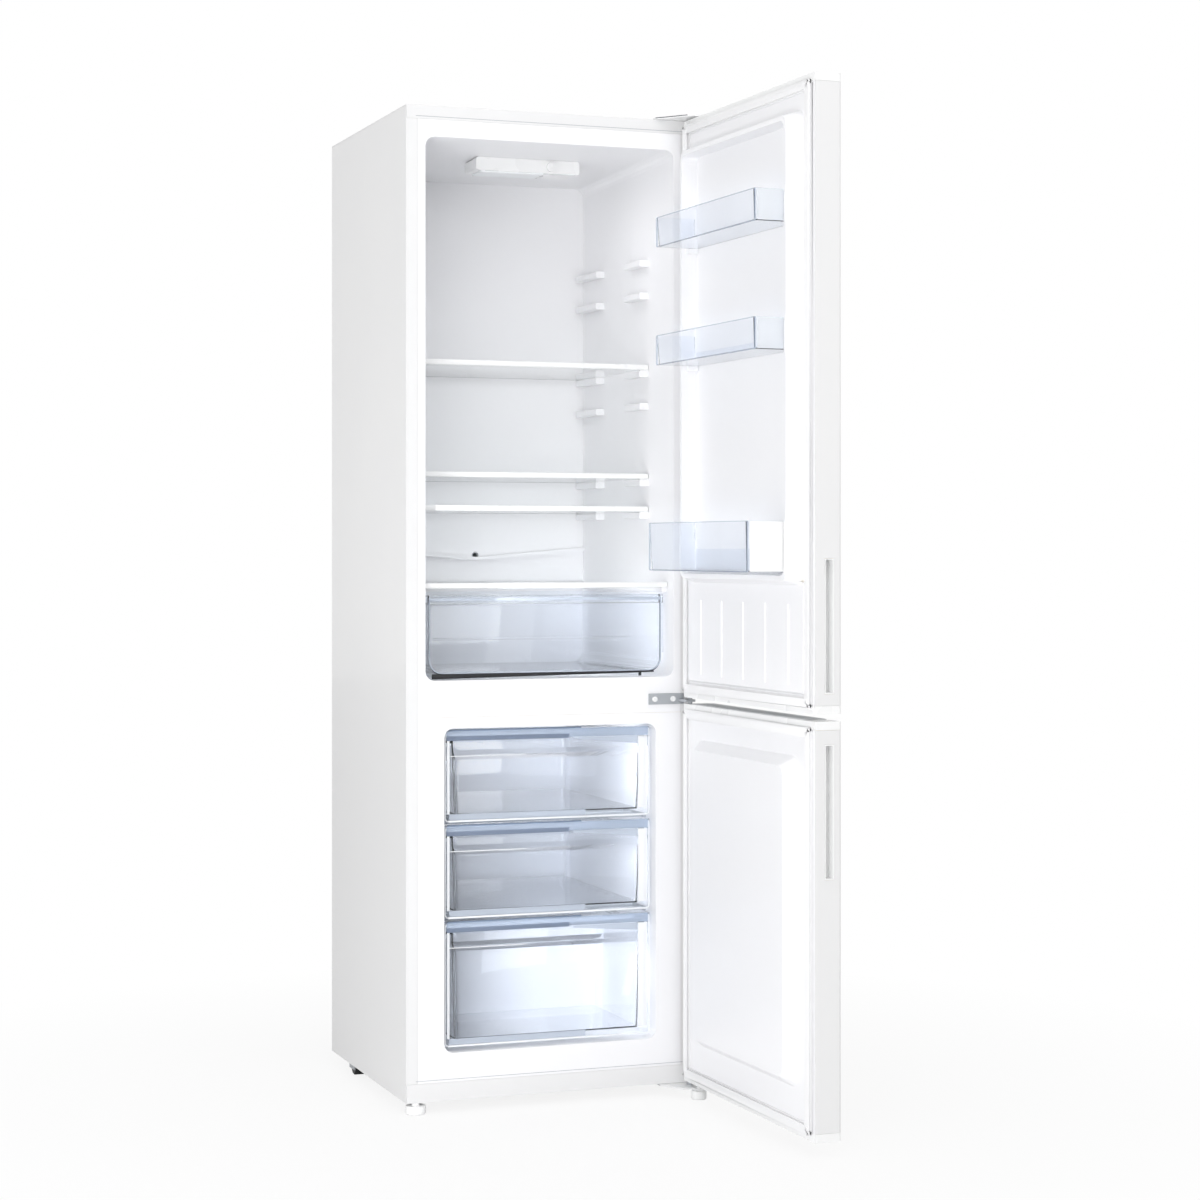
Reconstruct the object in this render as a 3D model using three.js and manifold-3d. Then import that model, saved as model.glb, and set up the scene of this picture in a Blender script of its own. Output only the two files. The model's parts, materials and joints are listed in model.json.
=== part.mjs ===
// A two-door refrigerator with the freezer at the bottom, both doors standing open.
// Millimetres, +Z up. Everything is placed in the cabinet's frame: X from the left side of the cabinet,
// Y from its front face towards the back, Z from the floor. The whole is then centred over the floor.
import * as THREE from "three";
import { mergeVertices } from "three/addons/utils/BufferGeometryUtils.js";
import Module from "manifold-3d";

const wasm = await Module();
wasm.setup();

// ---------------------------------------------------------------- driving dimensions
const fit = 0.3; // clearance between pieces that meet

const cabinetWidth = 550;
const cabinetDepth = 520;
const cabinetTop = 1800;
const floorGap = 20; // underside of the cabinet above the floor
const sheet = 1; // painted steel of the casing
const topSheet = 2;
const baseSheet = 1.5;
const frontFold = 21.5; // the side panels wrap round onto the front by this much
const topSkirt = 24; // front edge of the top panel
const toeStrip = 33; // front edge of the base pan
const linerWall = 2; // moulded plastic liners

// freezer compartment, at its mouth
const freezerSideWall = 71; // from its mouth to the cabinet's sides
const freezerFloor = 105;
const freezerCeiling = 686;
const backWall = 65; // behind both compartments
const freezerDraft = 4;
const machineDepth = 215; // compressor bay, from the back
const machineHeight = 225; // and above the underside
const bayWall = 35; // insulation over the bay

// fridge compartment, at its mouth
const fridgeSideWall = 36;
const divider = 86; // between the two compartments
const ceilingWall = 55; // over the fridge compartment
const sideDraft = 11; // how far each side wall leans in by the back
const ceilingDraft = 14;
const cavityRadius = 17;
const seamRise = 20; // where the two liners' flanges meet, above the freezer's ceiling

// shelves and their supports
const supportShares = [0.8006, 0.7369, 0.5858, 0.5221, 0.3741, 0.3104]; // of the fridge's height
const supportTop = 4; // above its level
const supportHeight = 13;
const supportReach = 18;
const supportEnd = 3;
const frontSupport = [119, 197];
const rearSupportLength = 107;
const rearClearance = 7; // from the back wall
const shelfFront = 115;
const shelfGlass = 4;
const shelfTrimDepth = 17;
const shelfTrimHeight = 10;
const shelfTrimWall = 3;
const shelfGap = 2; // from a shelf to the side walls

// crisper and its glass cover
const coverRise = 164; // its ledges above the fridge's floor
const coverLedgeHeight = 8;
const coverLedgeReach = 10;
const coverFront = 24;
const coverBackGap = 15;
const crisperBehind = 4; // crisper's front behind the cover's
const crisperSideGap = 3;
const crisperHeadroom = 12;
const crisperStand = 8; // crisper's floor above the fridge's
const crisperWall = 2.5;
const crisperTaper = 6;
const crisperLip = 16;
const crisperWing = 108; // height of its front's wider part
const crisperRound = 26;

// drain gutter across the back wall
const gutterAbove = 49; // above the crisper's cover
const gutterRise = 19;
const gutterReach = 10;
const gutterHeight = 7;
const drainRadius = 7;
const drainBore = 5;

// lamp housing on the ceiling
const lampSpan = [-92, 113]; // to the left and the right of the middle
const lampFront = 162;
const lampDepth = 70;
const lampDrop = 30; // its underside below the ceiling at the mouth
const knobAside = 55;
const knobRadius = 9;
const knobReach = 7;

// freezer drawers
const drawerBelow = 7; // lowest front above the freezer's floor
const bottomDrawer = 223; // heights of the fronts; the top one takes what is left
const middleDrawer = 166;
const drawerGap = 7.5;
const drawerAbove = 6;
const drawerFrontAt = 18;
const drawerFrontGap = 6; // fronts to the side walls
const drawerFrontWall = 4;
const drawerFrontRadius = 8;
const drawerTrayGap = 22; // trays to the side walls
const drawerWall = 2.5;
const drawerFlangeGap = 8;
const drawerFlange = 4;
const drawerFlangeDrop = 22; // flange below the top of the front
const drawerFloorRise = 12; // tray floor above the bottom of the front
const drawerTaper = 5;
const drawerBackGap = 25;
const railReach = 15;
const railHeight = 9;
const railBehind = 14; // rails behind the drawers' fronts
const gripDrop = 44; // height of the finger grip across the top of each front
const gripLean = 9; // and how far it leans in
const gripLip = 3;

// evaporator shelves between the drawers
const evaporatorTube = 4;
const evaporatorPasses = 9;
const evaporatorFront = 60;
const evaporatorBackGap = 15;

// doors: both turn on one line of pins
const pivotFromSide = 10;
const pivotAhead = 18;
const openAngle = 91; // degrees, as they stand
const doorThickness = 48;
const doorStandOff = 9; // inner face in front of the cabinet's face
const doorInset = [3, 2]; // from the cabinet's sides, at the free edge and at the hinges
const doorEdgeRadius = 4;
const lowerDoorLift = 6; // above the cabinet's underside
const upperDoorDrop = 3; // below the cabinet's top
const doorSplit = 36; // top of the lower door above the freezer's ceiling
const doorGap = 12;
const capHeight = 14; // end caps
const gasketInset = 10;
const gasketWidth = 18;
const gasketRelief = 0.6; // gasket to cabinet when shut
const dykeCrest = 8; // width of the raised rim of a door liner
const pocketDraft = 2;
const kneeGap = 2; // shallow panel under the pocket, inside the gasket
const kneeReach = 6;
const kneeSlope = 4;
const ribCount = 5;
const ribPitch = 91;
const ribWidth = 5;
const ribReach = 2;
const ribEnds = [15, 30]; // inside the bottom of the panel and below the rim
const gripSlot = { width: 13.6, length: 220, depth: 18, wall: 2, fromInner: 19 };
const gripSlotEnds = { upper: 36, lower: 40 }; // from the edges of the doors that face each other

// door balconies: base at a share of the pocket's height, height, reach from the door's inner face
const balconyWall = 2.5;
const balconyEnds = 1.5; // clearance to the pocket's flanks
const balconyTaper = 3;
const balconyLug = { reach: 8, depth: 20, height: 9 };
const balconies = {
  balcony_top: { share: 0.778, height: 54, reach: 82 },
  balcony_middle: { share: 0.4967, height: 54, reach: 82 },
  balcony_bottle: { share: 0.0079, height: 86, reach: 96 },
};

// hinges
const pinRadius = 4;
const pinGap = 0.4;
const pinReach = 11; // into a door's end cap
const hingePlate = 3.5;
const hingeTip = 44; // front end of the plates, ahead of the pins
const middlePlate = { fromSide: 17, width: 69, height: 20, thick: 3 };
const middleArm = 4;
const armWidth = 17; // inward from the pin
const screwInsets = { inner: 11, outer: 47 }; // from the plate's inner end
const screwRise = 10;
const screwHead = 5.2;
const screwShank = 2;

// feet and rollers
const leftFoot = { x: 19.5, y: 6.5, radius: 18.5, height: 15 };
const rightFoot = { aside: 1, ahead: 39, radius: 14, height: 15.5 }; // from the line of pins
const footStem = 4;
const roller = { fromBack: 145, left: 5, width: 20, radius: 18, bore: 3.4 };
const axleRadius = 3;
const bracketWall = 2.5;

// machine bay
const compressorAside = 25;
const compressorBehind = 107; // behind the front of the bay
const compressorRadius = 76;
const compressorDrop = 49; // its top below the ceiling of the bay
const compressorRail = { rise: 2, thick: 3, depth: 120 };
const trayWall = 1.5;
const trayHeight = 24;
const traySize = [150, 120];

// condenser on the back
const condenserTube = 2.5;
const condenserPasses = 15;
const condenserRise = 95; // its lowest pass above the bay
const condenserDrop = 200; // its highest pass below the top
const condenserStandOff = 18;
const condenserInset = 70;
const condenserStrap = 14;

// ---------------------------------------------------------------- derived
const middle = cabinetWidth / 2;
const freezerHalf = middle - freezerSideWall;
const fridgeHalf = middle - fridgeSideWall;
const cavityBack = cabinetDepth - backWall;
const inner = sheet + fit; // just inside the side panels
const skirtBottom = cabinetTop - topSkirt;
const bayFront = cabinetDepth - machineDepth;
const bayCeiling = floorGap + machineHeight;
const deepFloor = bayCeiling + bayWall; // the freezer's floor steps up over the machine bay
const shallowBack = bayFront - bayWall;

const fridgeFloor = freezerCeiling + divider;
const fridgeCeiling = cabinetTop - ceilingWall;
const flangeSeam = freezerCeiling + seamRise;
const supportLevels = supportShares.map((share) => fridgeFloor + share * (fridgeCeiling - fridgeFloor));
const rearSupport = [cavityBack - rearClearance - rearSupportLength, cavityBack - rearClearance];
const shelvesAt = { top: supportLevels[2], middle: supportLevels[4], low: supportLevels[5] };

const coverLedgeTop = fridgeFloor + coverRise;
const coverBack = cavityBack - coverBackGap;
const crisperFront = coverFront + crisperBehind;
const crisperBack = coverBack - 10;
const crisperHalf = fridgeHalf - sideDraft - crisperSideGap;
const crisperTop = coverLedgeTop - crisperHeadroom;
const crisperBottom = fridgeFloor + crisperStand;
const gutterLow = coverLedgeTop + gutterAbove;
const drainLevel = gutterLow + 3 + drainRadius;
const drainRun = (cavityBack + linerWall + cabinetDepth - sheet) / 2; // the drain goes down inside the back
const lampBottom = fridgeCeiling - lampDrop;
const knobAt = middle + knobAside;

const bottomFront = [freezerFloor + drawerBelow, freezerFloor + drawerBelow + bottomDrawer];
const middleFront = [bottomFront[1] + drawerGap, bottomFront[1] + drawerGap + middleDrawer];
const topFront = [middleFront[1] + drawerGap, freezerCeiling - drawerAbove];
const drawerFronts = { top: topFront, middle: middleFront, bottom: bottomFront };
const drawerBack = cavityBack - drawerBackGap;
const railFront = drawerFrontAt + drawerFrontWall + railBehind;

const pivot = [cabinetWidth - pivotFromSide, -pivotAhead];
const doorFree = doorInset[0] - pivot[0]; // the door's free edge, from the pivot
const doorHinge = cabinetWidth - doorInset[1] - pivot[0];
const doorInner = pivotAhead - doorStandOff; // inner face, from the pivot, towards the cabinet
const doorOuter = doorInner - doorThickness;
const lowerDoor = { bottom: floorGap + lowerDoorLift, top: freezerCeiling + doorSplit };
const upperDoor = { bottom: lowerDoor.top + doorGap, top: cabinetTop - upperDoorDrop };
// raised rims: they stand inside the compartments' mouths when the doors are shut
const upperDyke = {
  bottom: coverLedgeTop + 9, top: fridgeCeiling - 3,
  inset: middle - fridgeHalf - doorInset[0] + 7, slope: 10, reach: 30,
};
const lowerDyke = {
  bottom: freezerFloor - 1, top: freezerCeiling - 26,
  inset: middle - freezerHalf - doorInset[0] - 4, slope: 16, reach: 22,
};
const kneeInset = gasketInset + gasketWidth + kneeGap;
const kneeBottom = upperDoor.bottom + kneeInset;
const gripSlotBottoms = {
  upper: upperDoor.bottom + gripSlotEnds.upper,
  lower: lowerDoor.top - gripSlotEnds.lower - gripSlot.length,
};
const screwXs = Object.values(screwInsets).map((at) => cabinetWidth - middlePlate.fromSide - middlePlate.width + at);
const middlePlateBottom = lowerDoor.top - 1;
const screwLevel = middlePlateBottom + screwRise;

// ---------------------------------------------------------------- materials
const paint = (color, roughness, metalness = 0) => new THREE.MeshStandardMaterial({ color, roughness, metalness });
const glassy = (color, opacity) =>
  new THREE.MeshStandardMaterial({ color, roughness: 0.08, transparent: true, opacity });
const finish = {
  whiteSteel: paint(0xf2f3f3, 0.35),
  whitePlastic: paint(0xf6f6f6, 0.45),
  linerPlastic: paint(0xeceff2, 0.4),
  greyPlastic: paint(0xb9bcbf, 0.55),
  foam: paint(0xe6d9a8, 0.95),
  steel: paint(0x8a8d90, 0.4, 0.9),
  blackEnamel: paint(0x161718, 0.4),
  rubber: paint(0xd9dadb, 0.8),
  blackPlastic: paint(0x18191a, 0.6),
  aluminium: paint(0xc9ccd0, 0.45, 0.9),
  clearBlue: glassy(0xbcd3e6, 0.45),
  glass: glassy(0xd7e6e6, 0.4),
};

// ---------------------------------------------------------------- solids
function solidFrom(geometry) {
  const plain = new THREE.BufferGeometry().setAttribute("position", geometry.getAttribute("position"));
  if (geometry.index) plain.setIndex(geometry.index);
  const merged = mergeVertices(plain, 1e-4);
  const triVerts = new Uint32Array(merged.index.array);
  const vertProperties = new Float32Array(merged.attributes.position.array);
  const made = new wasm.Manifold(new wasm.Mesh({ numProp: 3, vertProperties, triVerts }));
  if (made.volume() >= 0) return made;
  for (let i = 0; i < triVerts.length; i += 3) [triVerts[i + 1], triVerts[i + 2]] = [triVerts[i + 2], triVerts[i + 1]];
  return new wasm.Manifold(new wasm.Mesh({ numProp: 3, vertProperties, triVerts }));
}

const join = (first, ...rest) => rest.flat().reduce((sum, next) => sum.add(next), first);
const cut = (first, ...rest) => rest.flat().reduce((left, next) => left.subtract(next), first);

function box(x0, x1, y0, y1, z0, z1) {
  const made = new THREE.BoxGeometry(x1 - x0, y1 - y0, z1 - z0);
  return solidFrom(made.translate((x0 + x1) / 2, (y0 + y1) / 2, (z0 + z1) / 2));
}

// A place (a, b) in a section across an axis, at a distance along it.
const onAxis = {
  x: (a, b, at) => [at, a, b],
  y: (a, b, at) => [a, at, b],
  z: (a, b, at) => [a, b, at],
};

// Closed rounded outline of a rectangle, steps points round each corner.
function roundedOutline([a0, a1, b0, b1, radius], steps) {
  const r = Math.max(Math.min(radius, (a1 - a0) / 2 - 0.01, (b1 - b0) / 2 - 0.01), 0.05);
  const corners = [[a1 - r, b1 - r], [a0 + r, b1 - r], [a0 + r, b0 + r], [a1 - r, b0 + r]];
  return corners.flatMap(([a, b], quarter) =>
    Array.from({ length: steps + 1 }, (_, i) => {
      const angle = ((quarter + i / steps) * Math.PI) / 2;
      return [a + r * Math.cos(angle), b + r * Math.sin(angle)];
    }),
  );
}

// A solid through convex outlines of equally many points, each at its place along an axis.
function skinned(axis, outlines) {
  const n = outlines[0].points.length;
  const positions = outlines.flatMap(({ at, points }) => points.flatMap(([a, b]) => onAxis[axis](a, b, at)));
  const index = [];
  for (let level = 0; level + 1 < outlines.length; level++) {
    for (let i = 0; i < n; i++) {
      const low = level * n + i;
      const lowNext = level * n + ((i + 1) % n);
      index.push(low, lowNext, lowNext + n, low, lowNext + n, low + n);
    }
  }
  const last = (outlines.length - 1) * n;
  for (let i = 1; i + 1 < n; i++) {
    index.push(0, i + 1, i);
    index.push(last, last + i, last + i + 1);
  }
  const made = new THREE.BufferGeometry().setIndex(index);
  return solidFrom(made.setAttribute("position", new THREE.Float32BufferAttribute(positions, 3)));
}

// A bar of rounded rectangles: each station is [at, a0, a1, b0, b1, radius].
const bar = (axis, stations, steps = 3) =>
  skinned(axis, stations.map(([at, ...sides]) => ({ at, points: roundedOutline(sides, steps) })));

function rod(axis, [a, b], radius, from, to, sides = 16) {
  const ring = Array.from({ length: sides }, (_, i) => {
    const angle = ((i + 0.5) / sides) * 2 * Math.PI;
    return [a + radius * Math.cos(angle), b + radius * Math.sin(angle)];
  });
  return skinned(axis, [{ at: from, points: ring }, { at: to, points: ring }]);
}

// A flat outline in X and Y, pushed up from one level to another.
function plate(points, z0, z1) {
  const outline = new THREE.Shape(points.map(([x, y]) => new THREE.Vector2(x, y)));
  const made = new THREE.ExtrudeGeometry(outline, { depth: z1 - z0, bevelEnabled: false });
  return solidFrom(made.translate(0, 0, z0));
}

// A round tube through points that lie in one plane, whose normal is given.
function tube(points, radius, normal, sides = 8) {
  const path = points.map((p) => new THREE.Vector3(...p));
  const flat = new THREE.Vector3(...normal);
  const rings = path.map((here, i) => {
    const before = here.clone().sub(path[Math.max(i - 1, 0)]).normalize();
    const after = path[Math.min(i + 1, path.length - 1)].clone().sub(here).normalize();
    const along = before.clone().add(after).normalize();
    const mitre = i === 0 || i === path.length - 1 ? 1 : 1 / along.dot(after);
    const across = new THREE.Vector3().crossVectors(flat, along).multiplyScalar(mitre);
    return Array.from({ length: sides }, (_, k) => {
      const angle = ((k + 0.5) / sides) * 2 * Math.PI;
      return here.clone().addScaledVector(across, radius * Math.cos(angle)).addScaledVector(flat, radius * Math.sin(angle));
    });
  });
  const index = [];
  for (let i = 0; i + 1 < rings.length; i++) {
    for (let k = 0; k < sides; k++) {
      const low = i * sides + k;
      const lowNext = i * sides + ((k + 1) % sides);
      index.push(low, lowNext, lowNext + sides, low, lowNext + sides, low + sides);
    }
  }
  const last = (rings.length - 1) * sides;
  for (let k = 1; k + 1 < sides; k++) {
    index.push(0, k + 1, k);
    index.push(last, last + k, last + k + 1);
  }
  const made = new THREE.BufferGeometry().setFromPoints(rings.flat());
  return solidFrom(made.setIndex(index));
}

function lathe(profile, [x, y], squeeze = [1, 1], sides = 24) {
  const made = new THREE.LatheGeometry(profile.map(([r, z]) => new THREE.Vector2(r, z)), sides);
  return solidFrom(made.rotateX(Math.PI / 2).scale(squeeze[0], squeeze[1], 1).translate(x, y, 0));
}

const bothSides = (make) => [make(1), make(-1)];

// ---------------------------------------------------------------- pieces
function piece(name, solid, material, group) {
  const { vertProperties, numProp, triVerts } = solid.getMesh();
  const positions = new Float32Array((vertProperties.length / numProp) * 3);
  for (let i = 0; i * numProp < vertProperties.length; i++) {
    positions.set(vertProperties.subarray(i * numProp, i * numProp + 3), i * 3);
  }
  const geometry = new THREE.BufferGeometry().setIndex(new THREE.BufferAttribute(new Uint32Array(triVerts), 1));
  geometry.setAttribute("position", new THREE.BufferAttribute(positions, 3));
  const mesh = new THREE.Mesh(geometry, material);
  mesh.name = name;
  group.add(mesh);
}

// ---- casing
function casing(group) {
  const webTop = cabinetTop - topSheet - fit;
  const left = join(
    box(0, sheet, 0, cabinetDepth, floorGap, webTop),
    box(0, frontFold, 0, sheet, floorGap + toeStrip + fit, skirtBottom - fit),
  );
  piece("side_panel_left", left, finish.whiteSteel, group);
  piece("side_panel_right", left.mirror([1, 0, 0]).translate([cabinetWidth, 0, 0]), finish.whiteSteel, group);
  const top = join(
    box(0, cabinetWidth, 0, cabinetDepth, cabinetTop - topSheet, cabinetTop),
    box(inner, cabinetWidth - inner, 0, topSheet, skirtBottom, cabinetTop - topSheet / 2),
  );
  piece("top_panel", top, finish.whiteSteel, group);
  const backAt = cabinetDepth - fit - sheet;
  const back = box(inner, cabinetWidth - inner, backAt, backAt + sheet, bayCeiling, webTop);
  const drain = rod("z", [middle, drainRun], drainRadius + fit, bayCeiling - 1, bayCeiling + 3);
  const footHole = rod("z", [leftFoot.x, leftFoot.y], footStem + fit, floorGap - 1, floorGap + 3);
  const pan = cut(
    join(
      box(inner, cabinetWidth - inner, 0, baseSheet, floorGap, floorGap + toeStrip),
      box(inner, cabinetWidth - inner, 0, bayFront, floorGap, floorGap + baseSheet),
      box(inner, cabinetWidth - inner, bayFront - baseSheet, bayFront, floorGap, bayCeiling + baseSheet),
      box(inner, cabinetWidth - inner, bayFront - baseSheet, backAt - fit, bayCeiling, bayCeiling + baseSheet),
    ),
    drain,
    footHole,
  );
  piece("base_pan", pan, finish.whiteSteel, group);
  piece("back_panel", back, finish.greyPlastic, group);
}

// ---- liners
const fridgeLean = (y) => y / cavityBack;
const fridgeWall = (y) => fridgeHalf - sideDraft * fridgeLean(y);
const fridgeRoof = (y) => fridgeCeiling - ceilingDraft * fridgeLean(y);

function fridgeSpace(from, to, grow) {
  const station = (y) => [
    y, middle - fridgeWall(y) - grow, middle + fridgeWall(y) + grow,
    fridgeFloor - grow, fridgeRoof(y) + grow, cavityRadius + grow,
  ];
  return bar("y", [station(from), station(to)], 4);
}

const freezerWall = (y) => freezerHalf - (freezerDraft * y) / cavityBack;

function freezerSpace(from, grow) {
  const station = (y, floor) => [
    y, middle - freezerWall(y) - grow, middle + freezerWall(y) + grow,
    floor - grow, freezerCeiling + grow, cavityRadius + grow,
  ];
  return join(
    bar("y", [station(from, freezerFloor), station(shallowBack + grow, freezerFloor)], 4),
    bar("y", [station(from, deepFloor), station(cavityBack + grow, deepFloor)], 4),
  );
}

// A bar along a side wall, from inside the wall's thickness to a reach into the space.
function wallBar(wall, side, reach, [y0, y1], z0, z1, radius) {
  const station = (y) => {
    const ends = [middle + side * (wall(y) - reach), middle + side * (wall(y) + linerWall / 2)];
    return [y, Math.min(...ends), Math.max(...ends), z0, z1, radius];
  };
  return bar("y", [station(y0), station(y1)], 1);
}

function drainGutter() {
  const low = gutterLow;
  const high = gutterLow + gutterRise;
  const reach = fridgeWall(cavityBack) + linerWall / 2;
  const outline = new THREE.Shape([
    new THREE.Vector2(-reach, high), new THREE.Vector2(0, low), new THREE.Vector2(reach, high),
    new THREE.Vector2(reach, high + gutterHeight), new THREE.Vector2(0, low + gutterHeight),
    new THREE.Vector2(-reach, high + gutterHeight),
  ]);
  const made = new THREE.ExtrudeGeometry(outline, { depth: gutterReach + linerWall / 2, bevelEnabled: false });
  return solidFrom(made.rotateX(Math.PI / 2).translate(middle, cavityBack + linerWall / 2, 0));
}

const screwHoles = (from, to) =>
  screwXs.map((x) => rod("y", [x, screwLevel], screwShank + fit, from, to, 12));

function liners(group) {
  const flange = (bottom, top) =>
    box(frontFold + fit, cabinetWidth - frontFold - fit, 0, linerWall, bottom, top);
  const supports = supportLevels.flatMap((level) =>
    [frontSupport, rearSupport].flatMap((along) =>
      bothSides((side) => wallBar(fridgeWall, side, supportReach, along, level + supportTop - supportHeight, level + supportTop, 2)),
    ),
  );
  const ledges = bothSides((side) =>
    wallBar(fridgeWall, side, coverLedgeReach, [coverFront + 8, coverBack], coverLedgeTop - coverLedgeHeight, coverLedgeTop, 1.5),
  );
  const drain = rod("y", [middle, drainLevel], drainRadius + fit, cavityBack - 1, cavityBack + linerWall + 1);
  const fridge = cut(
    join(
      cut(join(flange(flangeSeam + fit, skirtBottom - fit), fridgeSpace(0, cavityBack + linerWall, linerWall)), fridgeSpace(-1, cavityBack, 0)),
      supports, ledges, drainGutter(),
    ),
    drain, screwHoles(-1, linerWall + 1),
  );
  piece("fridge_liner", fridge, finish.linerPlastic, group);

  const rails = Object.values(drawerFronts).flatMap(([, top]) => {
    const railTop = top - drawerFlangeDrop - fit;
    const back = railTop > deepFloor ? drawerBack : shallowBack - 8;
    return bothSides((side) => wallBar(freezerWall, side, railReach, [railFront, back], railTop - railHeight, railTop, 2));
  });
  const freezer = join(
    cut(join(flange(floorGap + toeStrip + fit, flangeSeam), freezerSpace(0, linerWall)), freezerSpace(-1, 0)),
    rails,
  );
  piece("freezer_liner", freezer, finish.linerPlastic, group);
}

// ---- insulation between the casing and the liners
function drainPath() {
  const bend = 20;
  const arc = Array.from({ length: 5 }, (_, i) => {
    const angle = (i / 4) * (Math.PI / 2);
    return [middle, drainRun - bend + bend * Math.sin(angle), drainLevel - bend + bend * Math.cos(angle)];
  });
  return [[middle, cavityBack + fit, drainLevel], ...arc, [middle, drainRun, bayCeiling - 22]];
}

function insulation(group) {
  const block = box(inner, cabinetWidth - inner, topSheet + fit, cabinetDepth - 2 * fit - sheet, floorGap + baseSheet + fit, cabinetTop - topSheet - fit);
  const bay = box(0, cabinetWidth, bayFront - baseSheet - fit, cabinetDepth, 0, bayCeiling + baseSheet + fit);
  const foam = cut(
    block, bay,
    box(0, cabinetWidth, 0, linerWall + fit, 0, cabinetTop),
    fridgeSpace(0, cavityBack + linerWall + fit, linerWall + fit),
    freezerSpace(0, linerWall + fit),
    tube(drainPath(), drainRadius + fit, [1, 0, 0], 10),
  );
  piece("cabinet_insulation", foam, finish.foam, group);
  const hose = cut(tube(drainPath(), drainRadius, [1, 0, 0], 10), tube(extended(drainPath(), 1), drainBore, [1, 0, 0], 10));
  piece("drain_tube", hose, finish.greyPlastic, group);
}

// The same path, with its two ends run on a little.
function extended(path, by) {
  const onward = (end, next) => {
    const along = new THREE.Vector3(...end).sub(new THREE.Vector3(...next)).normalize();
    return along.multiplyScalar(by).add(new THREE.Vector3(...end)).toArray();
  };
  return [onward(path[0], path[1]), ...path.slice(1, -1), onward(path.at(-1), path.at(-2))];
}

// ---- cooling
function compressor(x, y, railTop) {
  const footTop = railTop + 15;
  const top = bayCeiling - compressorDrop;
  const r = compressorRadius;
  const shell = lathe(
    [[0, footTop], [r * 0.8, footTop], [r, footTop + 22], [r, top - 58], [r * 0.93, top - 30],
      [r * 0.72, top - 8], [r * 0.4, top], [0, top]],
    [x, y], [1.15, 0.92],
  );
  const [reachX, reachY] = [r * 1.16, r * 0.53];
  const feet = [-1, 1].flatMap((i) =>
    [-1, 1].map((k) => rod("z", [x + i * reachX, y + k * reachY], 10, railTop + fit, footTop + 1, 12)));
  const outline = [x - reachX - 14, x + reachX + 14, y - reachY - 12, y + reachY + 12, 12];
  return join(shell, bar("z", [[footTop, ...outline], [footTop + 3, ...outline]]), feet);
}

function cooling(group) {
  const railBottom = floorGap + compressorRail.rise;
  const railTop = railBottom + compressorRail.thick;
  const [x, y] = [middle + compressorAside, bayFront + compressorBehind];
  piece("compressor", compressor(x, y, railTop), finish.blackEnamel, group);

  const railEnd = roller.left + roller.width + bracketWall + 4 * fit;
  const halfRail = compressorRail.depth / 2;
  const rail = box(railEnd, cabinetWidth - railEnd, y - halfRail, y + halfRail, railBottom, railTop);
  piece("compressor_rail", rail, finish.steel, group);

  const trayBottom = bayCeiling - compressorDrop + fit;
  const reach = traySize[0] / 2;
  const trayBack = drainRun + 18;
  const trayFront = trayBack - traySize[1];
  const flare = 3;
  const outline = (by, radius) =>
    [middle - reach + by, middle + reach - by, trayFront + by, trayBack - by, radius];
  const filled = (by, z0, z1) =>
    bar("z", [[z0, ...outline(by, 12 - by)], [z1, ...outline(by - flare, 12 - by)]]);
  const tray = cut(
    filled(0, trayBottom, trayBottom + trayHeight),
    filled(trayWall, trayBottom + trayWall, trayBottom + trayHeight + 1),
  );
  piece("evaporation_tray", tray, finish.blackPlastic, group);

  condenser(group);
  for (const [name, level] of Object.entries({ upper: drawerFronts.top[0], lower: drawerFronts.middle[0] })) {
    piece("evaporator_shelf_" + name, evaporatorShelf(level - 4), finish.aluminium, group);
  }
}

function condenser(group) {
  const x0 = condenserInset;
  const x1 = cabinetWidth - condenserInset;
  const y = cabinetDepth + condenserStandOff;
  const bottom = bayCeiling + condenserRise;
  const top = cabinetTop - condenserDrop;
  const pitch = (top - bottom) / (condenserPasses - 1);
  const bend = pitch / 2;
  const path = [];
  for (let pass = 0; pass < condenserPasses; pass++) {
    const z = bottom + pass * pitch;
    const side = pass % 2 ? -1 : 1;
    path.push([side > 0 ? x0 : x1, y, z], [side > 0 ? x1 : x0, y, z]);
    if (pass + 1 === condenserPasses) break;
    for (let i = 1; i < 6; i++) {
      const angle = (i / 6) * Math.PI;
      path.push([(side > 0 ? x1 : x0) + side * bend * Math.sin(angle), y, z + bend - bend * Math.cos(angle)]);
    }
  }
  const half = condenserStrap / 2;
  const over = 20;
  const foot = 15;
  const straps = [x0 + 50, x1 - 50].flatMap((x) => [
    box(x - half, x + half, y - condenserTube - 1, y - 1, bottom - over, top + over),
    box(x - half, x + half, cabinetDepth, y - 1.5, bottom - over, bottom - over + foot),
    box(x - half, x + half, cabinetDepth, y - 1.5, top + over - foot, top + over),
  ]);
  piece("condenser", join(tube(path, condenserTube, [0, 1, 0]), straps), finish.blackEnamel, group);
}

function evaporatorShelf(level) {
  const back = cavityBack - evaporatorBackGap;
  const side = (s) => {
    const station = (y) => {
      const ends = [middle + s * (freezerWall(y) - fit), middle + s * (freezerWall(y) - fit - 5)];
      return [y, Math.min(...ends), Math.max(...ends), level - evaporatorTube, level + evaporatorTube, 1.5];
    };
    return bar("y", [station(evaporatorFront - 12), station(back + 6)], 1);
  };
  const pitch = (back - evaporatorFront) / (evaporatorPasses - 1);
  const passes = Array.from({ length: evaporatorPasses }, (_, i) => {
    const y = evaporatorFront + i * pitch;
    return rod("x", [y, level], evaporatorTube - 0.5, middle - freezerWall(y) + 3, middle + freezerWall(y) - 3, 8);
  });
  return join(side(1), side(-1), passes);
}

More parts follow.
